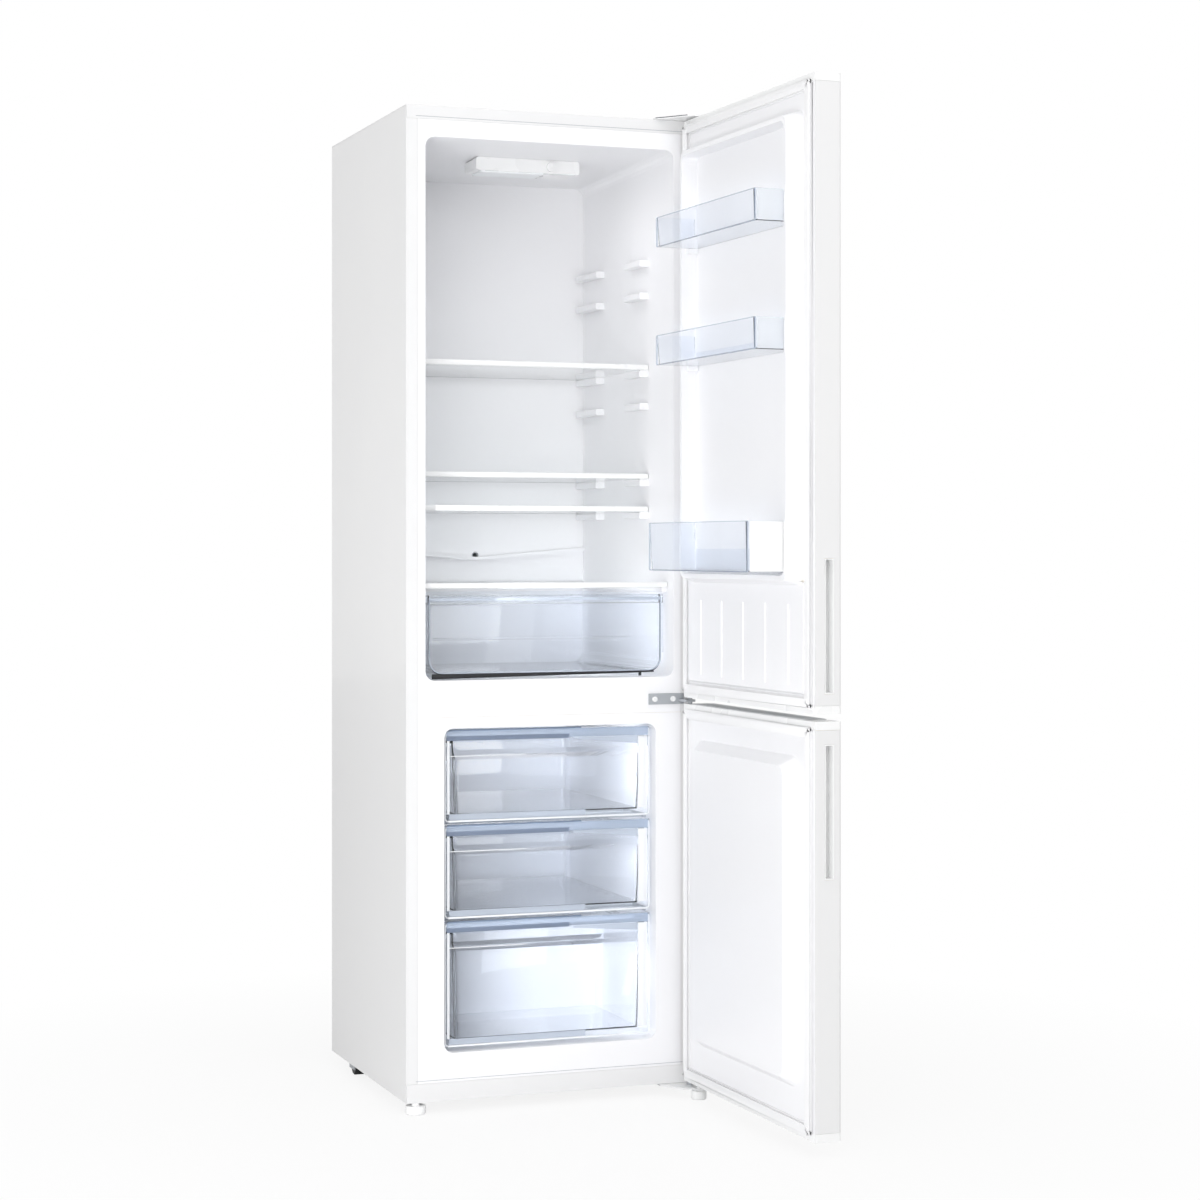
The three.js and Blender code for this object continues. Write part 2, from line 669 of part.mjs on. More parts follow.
// ---- inside the fridge
function shelves(group) {
  for (const [name, level] of Object.entries(shelvesAt)) {
    const rest = level + supportTop + fit;
    const half = fridgeWall(rearSupport[1]) - shelfGap;
    shelf("shelf_glass_" + name, "shelf_trim_" + name, shelfFront, rearSupport[1] - supportEnd - 1, rest, half, group);
  }
  const half = fridgeWall(coverBack) - shelfGap;
  shelf("crisper_cover_glass", "crisper_cover_trim", coverFront, coverBack, coverLedgeTop + fit, half, group);
}

// A glass pane with an angle trim along its front edge.
function shelf(glassName, trimName, front, back, rest, half, group) {
  const pane = box(middle - half, middle + half, front + shelfTrimWall + fit, back, rest, rest + shelfGlass);
  piece(glassName, pane, finish.glass, group);
  const trimHalf = fridgeWall(front + shelfTrimDepth) - shelfGap;
  const angle = cut(
    bar("x", [
      [middle - trimHalf, front, front + shelfTrimDepth, rest, rest + shelfTrimHeight, 2.5],
      [middle + trimHalf, front, front + shelfTrimDepth, rest, rest + shelfTrimHeight, 2.5],
    ], 2),
    box(middle - half - fit, middle + half + fit, front + shelfTrimWall, front + shelfTrimDepth + 1, rest - 1, rest + shelfGlass + fit),
  );
  piece(trimName, angle, finish.whitePlastic, group);
}

function lamp(group) {
  const ends = lampSpan.map((aside) => middle + aside);
  const station = (y) => [y, ...ends, lampBottom, fridgeRoof(y) - fit, 5];
  piece("lamp_housing", bar("y", [station(lampFront), station(lampFront + lampDepth)]), finish.whitePlastic, group);
  const level = (lampBottom + fridgeRoof(lampFront)) / 2 - 1;
  const knob = join(
    rod("y", [knobAt, level], knobRadius, lampFront - fit - knobReach, lampFront - fit, 20),
    box(knobAt - 1.5, knobAt + 1.5, lampFront - knobReach - 2, lampFront - knobReach, level - 2, level + knobRadius - 1),
  );
  piece("thermostat_knob", knob, finish.whitePlastic, group);
}

// An open-topped tray: the floor and the rim are [a0, a1, b0, b1] in X and Y.
function openTray(floor, rim, z0, z1, wall, radius) {
  const shrink = ([x0, x1, y0, y1], by) => [x0 + by, x1 - by, y0 + by, y1 - by];
  return cut(
    bar("z", [[z0, ...floor, radius], [z1, ...rim, radius]]),
    bar("z", [[z0 + wall, ...shrink(floor, wall), radius - wall], [z1 + 1, ...shrink(rim, wall), radius - wall]]),
  );
}

function crisper(group) {
  const left = middle - crisperHalf;
  const right = middle + crisperHalf;
  const runners = bothSides((side) => {
    const x = middle + side * (crisperHalf - crisperRound - 8);
    return box(x - 3, x + 3, crisperFront + 20, crisperBack - 30, fridgeFloor + fit, crisperBottom + 1);
  });
  // the tray is round along its lower corners, and tapers a little to the back
  const filled = (y0, y1, wall) => {
    const station = (y, taper) =>
      [y, left + wall + taper, right - wall - taper, crisperBottom + wall, crisperTop + 40, crisperRound - wall];
    return bar("y", [station(y0, 0), station(y1, crisperTaper)], 5);
  };
  const tray = cut(
    filled(crisperFront, crisperBack, 0),
    filled(crisperFront + crisperWall, crisperBack - crisperWall, crisperWall),
    box(left - 1, right + 1, crisperFront - 1, crisperBack + 1, crisperTop, crisperTop + 41),
  );
  const lipSection = [crisperFront - 2, crisperFront + 8, crisperTop - crisperLip, crisperTop, 2.5];
  const lip = bar("x", [[left - 4, ...lipSection], [right + 4, ...lipSection]], 2);
  const wings = box(left - 4, right + 4, crisperFront - 1, crisperFront + crisperWall / 2, crisperTop - crisperWing, crisperTop - 2);
  const half = (crisperBottom + crisperTop) / 2;
  const stepSection = [crisperFront - 2, crisperFront + 2, half - 9, half - 5, 1];
  const step = bar("x", [[left + 8, ...stepSection], [right - 8, ...stepSection]], 1);
  piece("crisper_drawer", join(tray, runners, lip, wings, step), finish.clearBlue, group);
}

// ---- freezer drawers
function freezerDrawer(name, [bottom, top], group) {
  const flangeTop = top - drawerFlangeDrop + drawerFlange;
  const back = bottom < deepFloor ? shallowBack - 10 : drawerBack;
  const panelBack = drawerFrontAt + drawerFrontWall;
  const half = freezerHalf - drawerTrayGap;
  const rim = [middle - half, middle + half, panelBack - 2, back];
  const floor = [middle - half + drawerTaper, middle + half - drawerTaper, panelBack - 2, back - drawerTaper];
  const tray = openTray(floor, rim, bottom + drawerFloorRise, flangeTop, drawerWall, 9);
  const flangeEnd = freezerHalf - freezerDraft - drawerFlangeGap;
  const flanges = bothSides((side) => {
    const ends = [middle + side * (half - drawerWall / 2), middle + side * flangeEnd];
    return box(Math.min(...ends), Math.max(...ends), panelBack - 1, back - 12, flangeTop - drawerFlange, flangeTop);
  });
  const left = middle - freezerHalf + drawerFrontGap;
  const right = middle + freezerHalf - drawerFrontGap;
  const bend = top - gripDrop;
  const sides = [left, right, bottom, bend, drawerFrontRadius];
  const panel = bar("y", [[drawerFrontAt, ...sides], [panelBack, ...sides]]);
  // the finger grip: the top of the front leans in, and folds forward again in a lip
  const grip = skinned("x", [left, right].map((at) => ({
    at,
    points: [
      [drawerFrontAt, bend - drawerFrontRadius - 1], [panelBack, bend - drawerFrontRadius - 1], [panelBack + gripLean, bend + 8],
      [panelBack + gripLean, top], [drawerFrontAt + gripLean, top], [drawerFrontAt, bend],
    ],
  })));
  const lip = box(left, right, drawerFrontAt, drawerFrontAt + gripLean + 2, top - gripLip, top);
  piece(name, join(panel, grip, lip, tray, flanges), finish.clearBlue, group);
}

// ---- doors, built shut and about their pins: u across, v towards the cabinet, z up
function doorSection(inset, innerFace, z0, z1) {
  const r = doorEdgeRadius - inset;
  const steps = 3;
  const arc = (u, turn) =>
    Array.from({ length: steps + 1 }, (_, i) => {
      const angle = turn + ((i / steps) * Math.PI) / 2;
      return [u + r * Math.cos(angle), doorOuter + doorEdgeRadius + r * Math.sin(angle)];
    });
  return skinned("z", [z0, z1].map((at) => ({
    at,
    points: [
      ...arc(doorFree + doorEdgeRadius, Math.PI), ...arc(doorHinge - doorEdgeRadius, 1.5 * Math.PI),
      [doorHinge - inset, innerFace], [doorFree + inset, innerFace],
    ],
  })));
}

// The raised rim of the liner: a block with sloping flanks, its faces moved in by a distance.
function dyke({ bottom, top, inset, slope, reach }, inward, start) {
  const side = inset + inward;
  const crest = side + slope;
  const base = [doorFree + side, doorHinge - side, bottom + inward, top - inward, 22 - inward];
  const above = [bottom + inward + slope, top - inward - slope, 18 - inward];
  return bar("y", [
    [start, ...base], [doorInner, ...base],
    [doorInner + reach - inward, doorFree + crest, doorHinge - crest, ...above],
  ], 4);
}

// The pocket inside the rim, its faces moved outward by a distance.
const pocketSide = ({ inset, slope }) => inset + slope + dykeCrest;
function pocket(rim, outward) {
  const below = rim.slope + dykeCrest;
  const station = (v, draft) => [
    v, doorFree + pocketSide(rim) + draft - outward, doorHinge - pocketSide(rim) - draft + outward,
    rim.bottom + below + draft - outward, rim.top - below - draft + outward, 14 + outward,
  ];
  return bar("y", [station(doorInner - outward, pocketDraft), station(doorInner + rim.reach + 1, 0)], 4);
}

// The shallow panel under the pocket, its faces moved in by a distance.
function knee(inward, start) {
  const station = (v, draft) => {
    const side = kneeInset + inward + draft;
    return [v, doorFree + side, doorHinge - side, kneeBottom + inward + draft, upperDyke.bottom + 8, 6];
  };
  return bar("y", [station(start, 0), station(doorInner, 0), station(doorInner + kneeReach - inward, kneeSlope)], 2);
}

function doorRibs() {
  const centre = (doorFree + doorHinge) / 2;
  const face = doorInner + kneeReach;
  const levels = [kneeBottom + ribEnds[0], upperDyke.bottom - ribEnds[1]];
  return Array.from({ length: ribCount }, (_, i) => {
    const u = centre + (i - (ribCount - 1) / 2) * ribPitch;
    return bar("z", levels.map((z) => [z, u - ribWidth / 2, u + ribWidth / 2, face - 1, face + ribReach, 1.5]), 2);
  });
}

const balconyBase = ({ share }) => {
  const rim = upperDyke.slope + dykeCrest;
  return upperDyke.bottom + rim + share * (upperDyke.top - upperDyke.bottom - 2 * rim);
};

function balconyLugs() {
  const side = pocketSide(upperDyke);
  const inside = pocketDraft + balconyLug.reach;
  return Object.values(balconies).flatMap((size) => {
    const top = balconyBase(size) - fit;
    const section = [doorInner + 2, doorInner + 2 + balconyLug.depth, top - balconyLug.height, top];
    return [
      box(doorFree + side - 2, doorFree + side + inside, ...section),
      box(doorHinge - side - inside, doorHinge - side + 2, ...section),
    ];
  });
}

function gripCup(bottom, grow) {
  const { width, length, depth, wall, fromInner } = gripSlot;
  const v1 = doorInner - fromInner + wall + grow;
  const v0 = doorInner - fromInner - width - wall - grow;
  return box(doorFree - (grow ? 1 : 0), doorFree + depth + wall + grow, v0, v1, bottom - wall - grow, bottom + length + wall + grow);
}

function door(name, { bottom, top }, dykeRange, slotBottom, group) {
  const upper = name === "upper_door";
  const low = bottom + capHeight + fit;
  const high = top - capHeight - fit;
  const pinHole = (z0, z1) => rod("z", [0, 0], pinRadius + pinGap, z0, z1);

  const skin = cut(
    cut(doorSection(0, doorInner, low, high), doorSection(sheet, doorInner + 1, low - 1, high + 1)),
    gripCup(slotBottom, fit),
  );
  piece(name + "_skin", skin, finish.whiteSteel, group);

  const sheetPlate = box(doorFree + inner, doorHinge - inner, doorInner - linerWall, doorInner, low, high);
  const start = doorInner - linerWall;
  let form = join(sheetPlate, dyke(dykeRange, 0, start));
  let hollow = dyke(dykeRange, linerWall, start - 1);
  if (upper) {
    form = join(cut(join(form, knee(0, start)), pocket(dykeRange, 0)), doorRibs(), balconyLugs());
    hollow = join(cut(hollow, pocket(dykeRange, linerWall)), knee(linerWall, start - 1));
  }
  piece(name + "_liner", cut(form, hollow), finish.linerPlastic, group);

  let fill = dyke(dykeRange, linerWall + fit, start - 2);
  if (upper) fill = join(cut(fill, pocket(dykeRange, linerWall + fit)), knee(linerWall + fit, start - 2));
  const slab = doorSection(sheet + fit, start - fit, low, high);
  piece(name + "_insulation", cut(join(slab, fill), gripCup(slotBottom, fit)), finish.foam, group);

  const topCap = cut(doorSection(0, doorInner, top - capHeight, top), pinHole(top - capHeight + 1.5, top + 1));
  piece(name + "_top_cap", topCap, finish.whitePlastic, group);
  const bottomCap = cut(doorSection(0, doorInner, bottom, bottom + capHeight), pinHole(bottom - 1, bottom + capHeight - 1.5));
  piece(name + "_bottom_cap", bottomCap, finish.whitePlastic, group);

  const frameAt = (inset, z0, z1) => [doorFree + inset, doorHinge - inset, z0 + inset, z1 - inset];
  const sealBack = doorInner + fit;
  const sealFront = pivotAhead - gasketRelief;
  const sealOuter = frameAt(gasketInset, bottom, top);
  const sealInner = frameAt(gasketInset + gasketWidth, bottom, top);
  const seal = cut(
    bar("y", [[sealBack, ...sealOuter, 6], [sealFront, ...sealOuter, 6]]),
    bar("y", [[sealBack - 1, ...sealInner, 4], [sealFront + 1, ...sealInner, 4]]),
  );
  piece(name + "_gasket", seal, finish.rubber, group);

  const { width, length, depth, fromInner } = gripSlot;
  const v1 = doorInner - fromInner;
  const cup = cut(gripCup(slotBottom, 0), box(doorFree - 1, doorFree + depth, v1 - width, v1, slotBottom, slotBottom + length));
  piece(name + "_grip", cup, finish.whitePlastic, group);
}

function balcony(name, size, group) {
  const { height, reach } = size;
  const base = balconyBase(size);
  const side = pocketSide(upperDyke) + pocketDraft + balconyEnds;
  const u0 = doorFree + side;
  const u1 = doorHinge - side;
  const v0 = doorInner + 1.5;
  const v1 = doorInner + reach;
  const taper = balconyTaper;
  const tray = openTray([u0 + taper, u1 - taper, v0, v1 - taper], [u0, u1, v0, v1], base, base + height, balconyWall, 5);
  // the back wall and the ends behind the rim are lower than the front
  const notch = box(u0 - 1, u1 + 1, v0 - 1, v0 + balconyWall + 1, base + height * 0.45, base + height + 1);
  piece(name, cut(tray, notch), finish.clearBlue, group);
}

// ---- hinges
function hinges(group) {
  const [x, y] = pivot;
  const right = cabinetWidth - inner;
  const tip = y - hingeTip;
  const above = cabinetTop + fit;
  const outline = [[x - 62, 14], [x - 62, 0], [x - 20, tip + 10], [x - 12, tip], [right, tip], [right, 14]];
  const topPin = rod("z", pivot, pinRadius, upperDoor.top - pinReach, above + 1);
  piece("top_hinge_bracket", join(plate(outline, above, above + hingePlate), topPin), finish.steel, group);

  const { fromSide, width, height, thick } = middlePlate;
  const [left, bottom] = [cabinetWidth - fromSide - width, middlePlateBottom];
  const upright = box(left, left + width, -fit - thick, -fit, bottom, bottom + height);
  const armBottom = (lowerDoor.top + upperDoor.bottom - middleArm) / 2;
  const armRoot = -fit - 0.5;
  const armSide = pinRadius + 4;
  const arm = plate([
    [x - armWidth, armRoot], [x - armWidth, -8], [x - 12, y - armSide - 2],
    [x + armSide - 3, y - armSide - 2], [x + armSide, y - armSide + 2], [x + armSide, armRoot],
  ], armBottom, armBottom + middleArm);
  const pinHole = rod("z", pivot, pinRadius + fit, bottom, bottom + height);
  const holes = [pinHole, screwHoles(-fit - thick - 1, 0)];
  piece("middle_hinge_bracket", cut(join(upright, arm), ...holes), finish.steel, group);
  const pin = rod("z", pivot, pinRadius, lowerDoor.top - pinReach, upperDoor.bottom + pinReach);
  piece("middle_hinge_pin", pin, finish.steel, group);
  Object.keys(screwInsets).forEach((name, i) => {
    const headBack = -2 * fit - thick;
    const screw = join(
      rod("y", [screwXs[i], screwLevel], screwHead, headBack - 2, headBack, 16),
      rod("y", [screwXs[i], screwLevel], screwShank, headBack - 1, linerWall, 12),
    );
    piece("middle_hinge_screw_" + name, screw, finish.steel, group);
  });

  const underTop = floorGap - fit;
  const end = rightFootAt[1] - 2 * footStem;
  const bay = y - 31; // the plate's front end beside the foot
  const tongue = rightFootAt[0] - 2 * footStem;
  const under = plate(
    [[x - 53, 60], [x - 53, 0], [x - 25, bay + 1], [tongue - 1, bay], [tongue, end], [right, end], [right, 60]],
    underTop - hingePlate, underTop,
  );
  const footHole = rod("z", rightFootAt, footStem + fit, 0, floorGap);
  const lowerPinHole = rod("z", pivot, pinRadius + fit, 0, floorGap);
  piece("bottom_hinge_bracket", cut(under, footHole, lowerPinHole), finish.steel, group);
  const lowerPin = join(
    rod("z", pivot, pinRadius, underTop - hingePlate - 2, lowerDoor.bottom + pinReach),
    rod("z", pivot, pinRadius + 3, underTop + fit, lowerDoor.bottom - 1, 16),
  );
  piece("bottom_hinge_pin", lowerPin, finish.steel, group);
}

// ---- feet and rollers
const rightFootAt = [pivot[0] + rightFoot.aside, pivot[1] - rightFoot.ahead];

function footCup(name, at, { radius, height }, stemTop, collarTop, group) {
  const profile = [[0, 0], [radius * 0.9, 0], [radius, 2], [radius, height - 2], [radius * 0.94, height], [footStem + 3, height],
    [footStem + 3, collarTop], [footStem, collarTop], [footStem, stemTop], [0, stemTop]];
  piece(name, lathe(profile, at, [1, 1], 20), finish.whitePlastic, group);
}

function supportsBelow(group) {
  footCup("foot_left", [leftFoot.x, leftFoot.y], leftFoot, floorGap + baseSheet - 0.1, floorGap - fit, group);
  footCup("foot_right", rightFootAt, rightFoot, floorGap + 1.5, floorGap - 2 * fit - hingePlate, group);
  const { left, width, radius, bore } = roller;
  const y = cabinetDepth - roller.fromBack;
  const wheel = cut(
    join(
      rod("x", [y, radius], radius - 1.5, left, left + width, 24),
      rod("x", [y, radius], radius, left + 1.5, left + width - 1.5, 24),
    ),
    rod("x", [y, radius], bore, left - 1, left + width + 1, 12),
  );
  const outerCheek = left + width + fit;
  const bracket = join(
    cut(
      box(inner, outerCheek + bracketWall, y - 17, y + 17, 12, 2 * radius + 4),
      box(inner + bracketWall, outerCheek, y - 18, y + 18, 11, 2 * radius + 1.5),
    ),
    rod("x", [y, radius], axleRadius, inner + 0.5, outerCheek + 1, 12),
  );
  const opposite = (solid) => solid.mirror([1, 0, 0]).translate([cabinetWidth, 0, 0]);
  piece("roller_left", wheel, finish.blackPlastic, group);
  piece("roller_right", opposite(wheel), finish.blackPlastic, group);
  piece("roller_bracket_left", bracket, finish.steel, group);
  piece("roller_bracket_right", opposite(bracket), finish.steel, group);
}

// ---------------------------------------------------------------- assembly
const refrigerator = new THREE.Group();
const standing = new THREE.Group();
refrigerator.add(standing);

casing(standing);
liners(standing);
insulation(standing);
cooling(standing);
shelves(standing);
lamp(standing);
crisper(standing);
for (const [name, front] of Object.entries(drawerFronts)) freezerDrawer("freezer_drawer_" + name, front, standing);
hinges(standing);
supportsBelow(standing);

const hung = new THREE.Group();
hung.position.set(pivot[0], pivot[1], 0);
hung.rotation.z = THREE.MathUtils.degToRad(openAngle);
standing.add(hung);
door("upper_door", upperDoor, upperDyke, gripSlotBottoms.upper, hung);
door("lower_door", lowerDoor, lowerDyke, gripSlotBottoms.lower, hung);
for (const [name, size] of Object.entries(balconies)) balcony(name, size, hung);

// the origin is on the floor, under the middle of the whole
const extent = new THREE.Box3().setFromObject(refrigerator);
const centre = extent.getCenter(new THREE.Vector3());
standing.position.set(-centre.x, -centre.y, -extent.min.z);

export default refrigerator;
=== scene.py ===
# %% [markdown]
# # A tall white refrigerator with its doors open
#
# A slim refrigerator with the freezer below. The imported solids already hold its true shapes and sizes, so
# this lesson dresses them: each solid gets the finish of the real piece, and the small forms that the
# solids leave out are modelled here. Everything is in metres, in the frame of the solids.

# %% Load the frame of solids
import json
import math

import bpy
from mathutils import Matrix, Vector


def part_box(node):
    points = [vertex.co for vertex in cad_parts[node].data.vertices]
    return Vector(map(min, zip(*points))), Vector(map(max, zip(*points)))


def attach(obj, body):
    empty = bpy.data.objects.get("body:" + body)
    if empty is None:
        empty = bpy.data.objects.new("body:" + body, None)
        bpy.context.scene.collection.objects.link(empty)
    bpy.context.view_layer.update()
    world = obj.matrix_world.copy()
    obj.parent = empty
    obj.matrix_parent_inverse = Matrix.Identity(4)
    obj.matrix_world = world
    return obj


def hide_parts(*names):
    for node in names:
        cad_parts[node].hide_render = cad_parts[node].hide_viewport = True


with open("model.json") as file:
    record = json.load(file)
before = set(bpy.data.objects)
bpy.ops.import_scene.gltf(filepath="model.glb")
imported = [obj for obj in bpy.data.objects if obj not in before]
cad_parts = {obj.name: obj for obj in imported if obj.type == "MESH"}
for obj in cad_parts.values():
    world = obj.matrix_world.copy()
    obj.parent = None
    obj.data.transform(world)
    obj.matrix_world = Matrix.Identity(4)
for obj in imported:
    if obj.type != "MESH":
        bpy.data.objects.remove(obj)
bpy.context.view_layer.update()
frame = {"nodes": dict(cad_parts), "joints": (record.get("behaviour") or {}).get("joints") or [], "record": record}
nodes = frame["nodes"]

# %% [markdown]
# ## The camera
#
# The photograph was taken level, from the front left, with a long lens. A level camera keeps the cabinet's
# upright edges parallel, and a small downward shift of the frame, as on a view camera, puts the horizon
# above the middle.

# %% Camera at the photograph's place
CABINET_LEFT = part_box("side_panel_left")[0][0]
CABINET_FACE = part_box("side_panel_left")[0][1]
EYE = (-1.284, -4.404, 1.009)
TURN = math.radians(20.57)
PHOTO_WIDTH_PIXELS = 1200
FOCAL_PIXELS = 2570
SHIFT_PIXELS = -51.7

lens = bpy.data.cameras.new("camera")
lens.sensor_width = 36
lens.lens = lens.sensor_width * FOCAL_PIXELS / PHOTO_WIDTH_PIXELS
lens.shift_y = SHIFT_PIXELS / PHOTO_WIDTH_PIXELS
camera = bpy.data.objects.new("camera", lens)
camera.location = (EYE[0] + CABINET_LEFT, EYE[1] + CABINET_FACE, EYE[2])
camera.rotation_euler = (math.pi / 2, 0, -TURN)
bpy.context.collection.objects.link(camera)
bpy.context.scene.camera = camera
bpy.context.scene.view_settings.view_transform = "Standard"
print("camera at", [round(v, 3) for v in camera.location])

# %% [markdown]
# ## Helpers for materials
#
# Nodes could be placed and linked one by one, which takes ten lines for what the eye does at a glance. Here
# colours are written as sRGB hex values, as a colour picker shows them, and turned to linear light by one
# function. Another adds a node with its settings and links, so that each material reads as a short recipe.


# %% Colour and node helpers
def linear(code):
    """An sRGB hex colour as linear RGBA."""
    parts = [int(code[i : i + 2], 16) / 255 for i in (1, 3, 5)]
    return (*[c / 12.92 if c <= 0.04045 else ((c + 0.055) / 1.055) ** 2.4 for c in parts], 1.0)


def add_node(tree, kind, settings=None, links=None, **values):
    """Adds a node: settings are its properties, links its linked inputs, and values its input values."""
    node = tree.nodes.new(kind)
    for key, value in (settings or {}).items():
        setattr(node, key, value)
    for key, value in values.items():
        node.inputs[key.replace("_", " ")].default_value = value
    for key, socket in (links or {}).items():
        tree.links.new(socket, node.inputs[key])
    return node


def new_material(name):
    """An empty material, its tree and the object coordinates, in metres."""
    material = bpy.data.materials.new(name)
    material.use_nodes = True
    tree = material.node_tree
    tree.nodes.clear()
    place = add_node(tree, "ShaderNodeTexCoord").outputs["Object"]
    return material, tree, place


def finish_material(tree, shader):
    add_node(tree, "ShaderNodeOutputMaterial", links={"Surface": shader.outputs[0]})


print("white in linear light:", linear("#f4f5f6")[:3])

# %% [markdown]
# ## Painted steel
#
# The cabinet and the door skins are cold-rolled steel sheet with a baked white enamel. Under light it shows
# a soft gloss with a very fine orange peel, about 2.5 mm from one rise to the next, which only bends the
# highlights. A photograph of paint could be wrapped round the casing, but it would show its seams. Noise in
# the object's own space has none, so one slow noise drifts colour and gloss, and one fine noise lifts the
# grain.


# %% Painted steel
def surface(name, colour, roughness, grain_mm, height_mm, drift, metallic=0.0, coat=0.0):
    """An opaque finish: two close colours drift into each other, and a fine grain lifts the surface."""
    material, tree, place = new_material(name)
    cloud = add_node(tree, "ShaderNodeTexNoise", links={"Vector": place}, Scale=6.0, Detail=3.0)
    tint = add_node(tree, "ShaderNodeMix", {"data_type": "RGBA"}, {0: cloud.outputs["Fac"]})
    tint.inputs[6].default_value = linear(colour)
    tint.inputs[7].default_value = linear(drift)
    grain = add_node(tree, "ShaderNodeTexNoise", links={"Vector": place}, Scale=1000 / grain_mm, Detail=2.0)
    raised = {"Height": grain.outputs["Fac"]}
    bump = add_node(tree, "ShaderNodeBump", links=raised, Strength=0.6, Distance=height_mm / 1000)
    rough = add_node(tree, "ShaderNodeMapRange", links={"Value": cloud.outputs["Fac"]})
    rough.inputs["To Min"].default_value = roughness - 0.04
    rough.inputs["To Max"].default_value = roughness + 0.04
    shader = add_node(
        tree,
        "ShaderNodeBsdfPrincipled",
        links={"Base Color": tint.outputs[2], "Normal": bump.outputs[0], "Roughness": rough.outputs[0]},
        Metallic=metallic,
        Coat_Weight=coat,
    )
    finish_material(tree, shader)
    return material


PEEL = 2.5
enamelled_steel = surface("white_enamelled_steel", "#e9e9e9", 0.3, PEEL, 0.05, "#e7e7e8", coat=0.2)
print("orange peel:", PEEL, "mm")

# %% [markdown]
# ## Moulded plastics
#
# The liners are polystyrene sheet, heated and drawn over a mould, which leaves a satin face with a faint
# ripple. The trims, caps, feet and lamp housing are injection-moulded ABS, a little glossier. The balconies
# and drawers are clear polystyrene, rippled by the mould about every 9 mm, with a blue tint that gathers
# where the light runs along a wall or an edge. The shelves are soda-lime glass, toughened on rollers that
# leave a long, faint wave. A clear wall could be a faint, see-through film, but it would lose its thickness.
# So it refracts, and only its shadow goes straight through.

# %% Moulded plastics
liner_polystyrene = surface("thermoformed_polystyrene", "#f6f6f8", 0.36, 4.0, 0.06, "#f4f4f6")
white_abs = surface("injection_moulded_white_abs", "#f6f6f6", 0.28, 0.9, 0.02, "#f3f4f4")
# Painted shade for the gap between the doors.
pale_grey_polypropylene = surface("pale_grey_polypropylene", "#dddfe1", 0.5, 0.8, 0.04, "#d6d8db")
grey_polypropylene = surface("grey_polypropylene", "#b9bcc0", 0.5, 0.8, 0.04, "#b0b3b8")
black_polypropylene = surface("black_polypropylene", "#1b1c1e", 0.5, 0.8, 0.04, "#242528")
soft_pvc = surface("soft_pvc_gasket", "#f5f5f6", 0.55, 1.2, 0.05, "#f1f1f2")


def clear(name, tint, roughness, haze, index, ripple_mm, spread=0.0):
    """A clear wall: light bends through it with a tint, haze is scattered, and its shadow is clear too."""
    material, tree, place = new_material(name)
    coarse = 1000 / ripple_mm
    ripple = add_node(tree, "ShaderNodeTexNoise", links={"Vector": place}, Scale=coarse, Detail=1.0)
    raised = {"Height": ripple.outputs["Fac"]}
    bump = add_node(tree, "ShaderNodeBump", links=raised, Strength=0.2, Distance=0.0002)
    wall = add_node(
        tree,
        "ShaderNodeBsdfPrincipled",
        links={"Normal": bump.outputs[0]},
        Base_Color=linear(tint),
        Roughness=roughness,
        IOR=index,
        Transmission_Weight=1 - haze,
    )
    shade = add_node(tree, "ShaderNodeBsdfTransparent", Color=linear(tint))
    ray = add_node(tree, "ShaderNodeLightPath").outputs
    rays = {0: ray["Is Diffuse Ray"], 2: ray["Is Shadow Ray"]}
    straight = add_node(tree, "ShaderNodeMath", {"operation": "MULTIPLY_ADD"}, rays)
    straight.inputs[1].default_value = spread
    mix = add_node(tree, "ShaderNodeMixShader", links={"Fac": straight.outputs[0]})
    tree.links.new(wall.outputs[0], mix.inputs[1])
    tree.links.new(shade.outputs[0], mix.inputs[2])
    finish_material(tree, mix)
    return material


RIPPLE = 9.0
clear_polystyrene = clear("clear_blue_polystyrene", "#fafcff", 0.04, 0.02, 1.35, RIPPLE)
toughened_glass = clear("toughened_soda_lime_glass", "#fdfefe", 0.0, 0.01, 1.5, 40.0, 1.0)
blue_edge = clear("polystyrene_seen_along_its_edge", "#d6e1ef", 0.1, 0.3, 1.5, RIPPLE)
# Painted highlight: a near-white finish for the light that leaves the clear walls at their edges.
painted_highlight_edge = clear("polystyrene_edge_in_the_light", "#f8fafd", 0.06, 0.9, 1.5, RIPPLE)
pale_edge = clear("polystyrene_edge_with_pale_light", "#d9e0ea", 0.1, 0.5, 1.3, RIPPLE)
# Painted highlight on the ends of the upper balconies.
painted_highlight_end = clear("cloudy_polystyrene_end", "#eceff3", 0.15, 0.6, 1.3, RIPPLE)
# Deep blue of the balconies' lower edges and corners, and painted shade under the drawers' lips.
edge_tint_and_painted_shade = clear("polystyrene_folded_edge", "#93a0b5", 0.1, 0.6, 1.4, RIPPLE)
dark_edge = clear("polystyrene_edge_in_half_shadow", "#8493a8", 0.15, 0.8, 1.4, RIPPLE)
glass_edge = clear("ground_glass_edge", "#56605e", 0.3, 0.8, 1.5, 3.0)
frosted_lens = surface("frosted_lamp_lens", "#fbfcfd", 0.45, 3.0, 0.3, "#f1f5f8")
print("ripple of the clear walls:", RIPPLE, "mm")

# %% [markdown]
# ## Metals, foam and the rest
#
# Hinges, pins and brackets are steel with a zinc plating, which looks pale grey and faintly mottled. The
# compressor and the condenser carry a thick black enamel. The cold shelves are drawn aluminium tube, and
# the space between casing and liners is filled with polyurethane foam, whose skin is yellowish and pitted.
# The recipe of the paint serves for all of them, with more metal in it for the plated parts and a coarser
# grain for the foam.

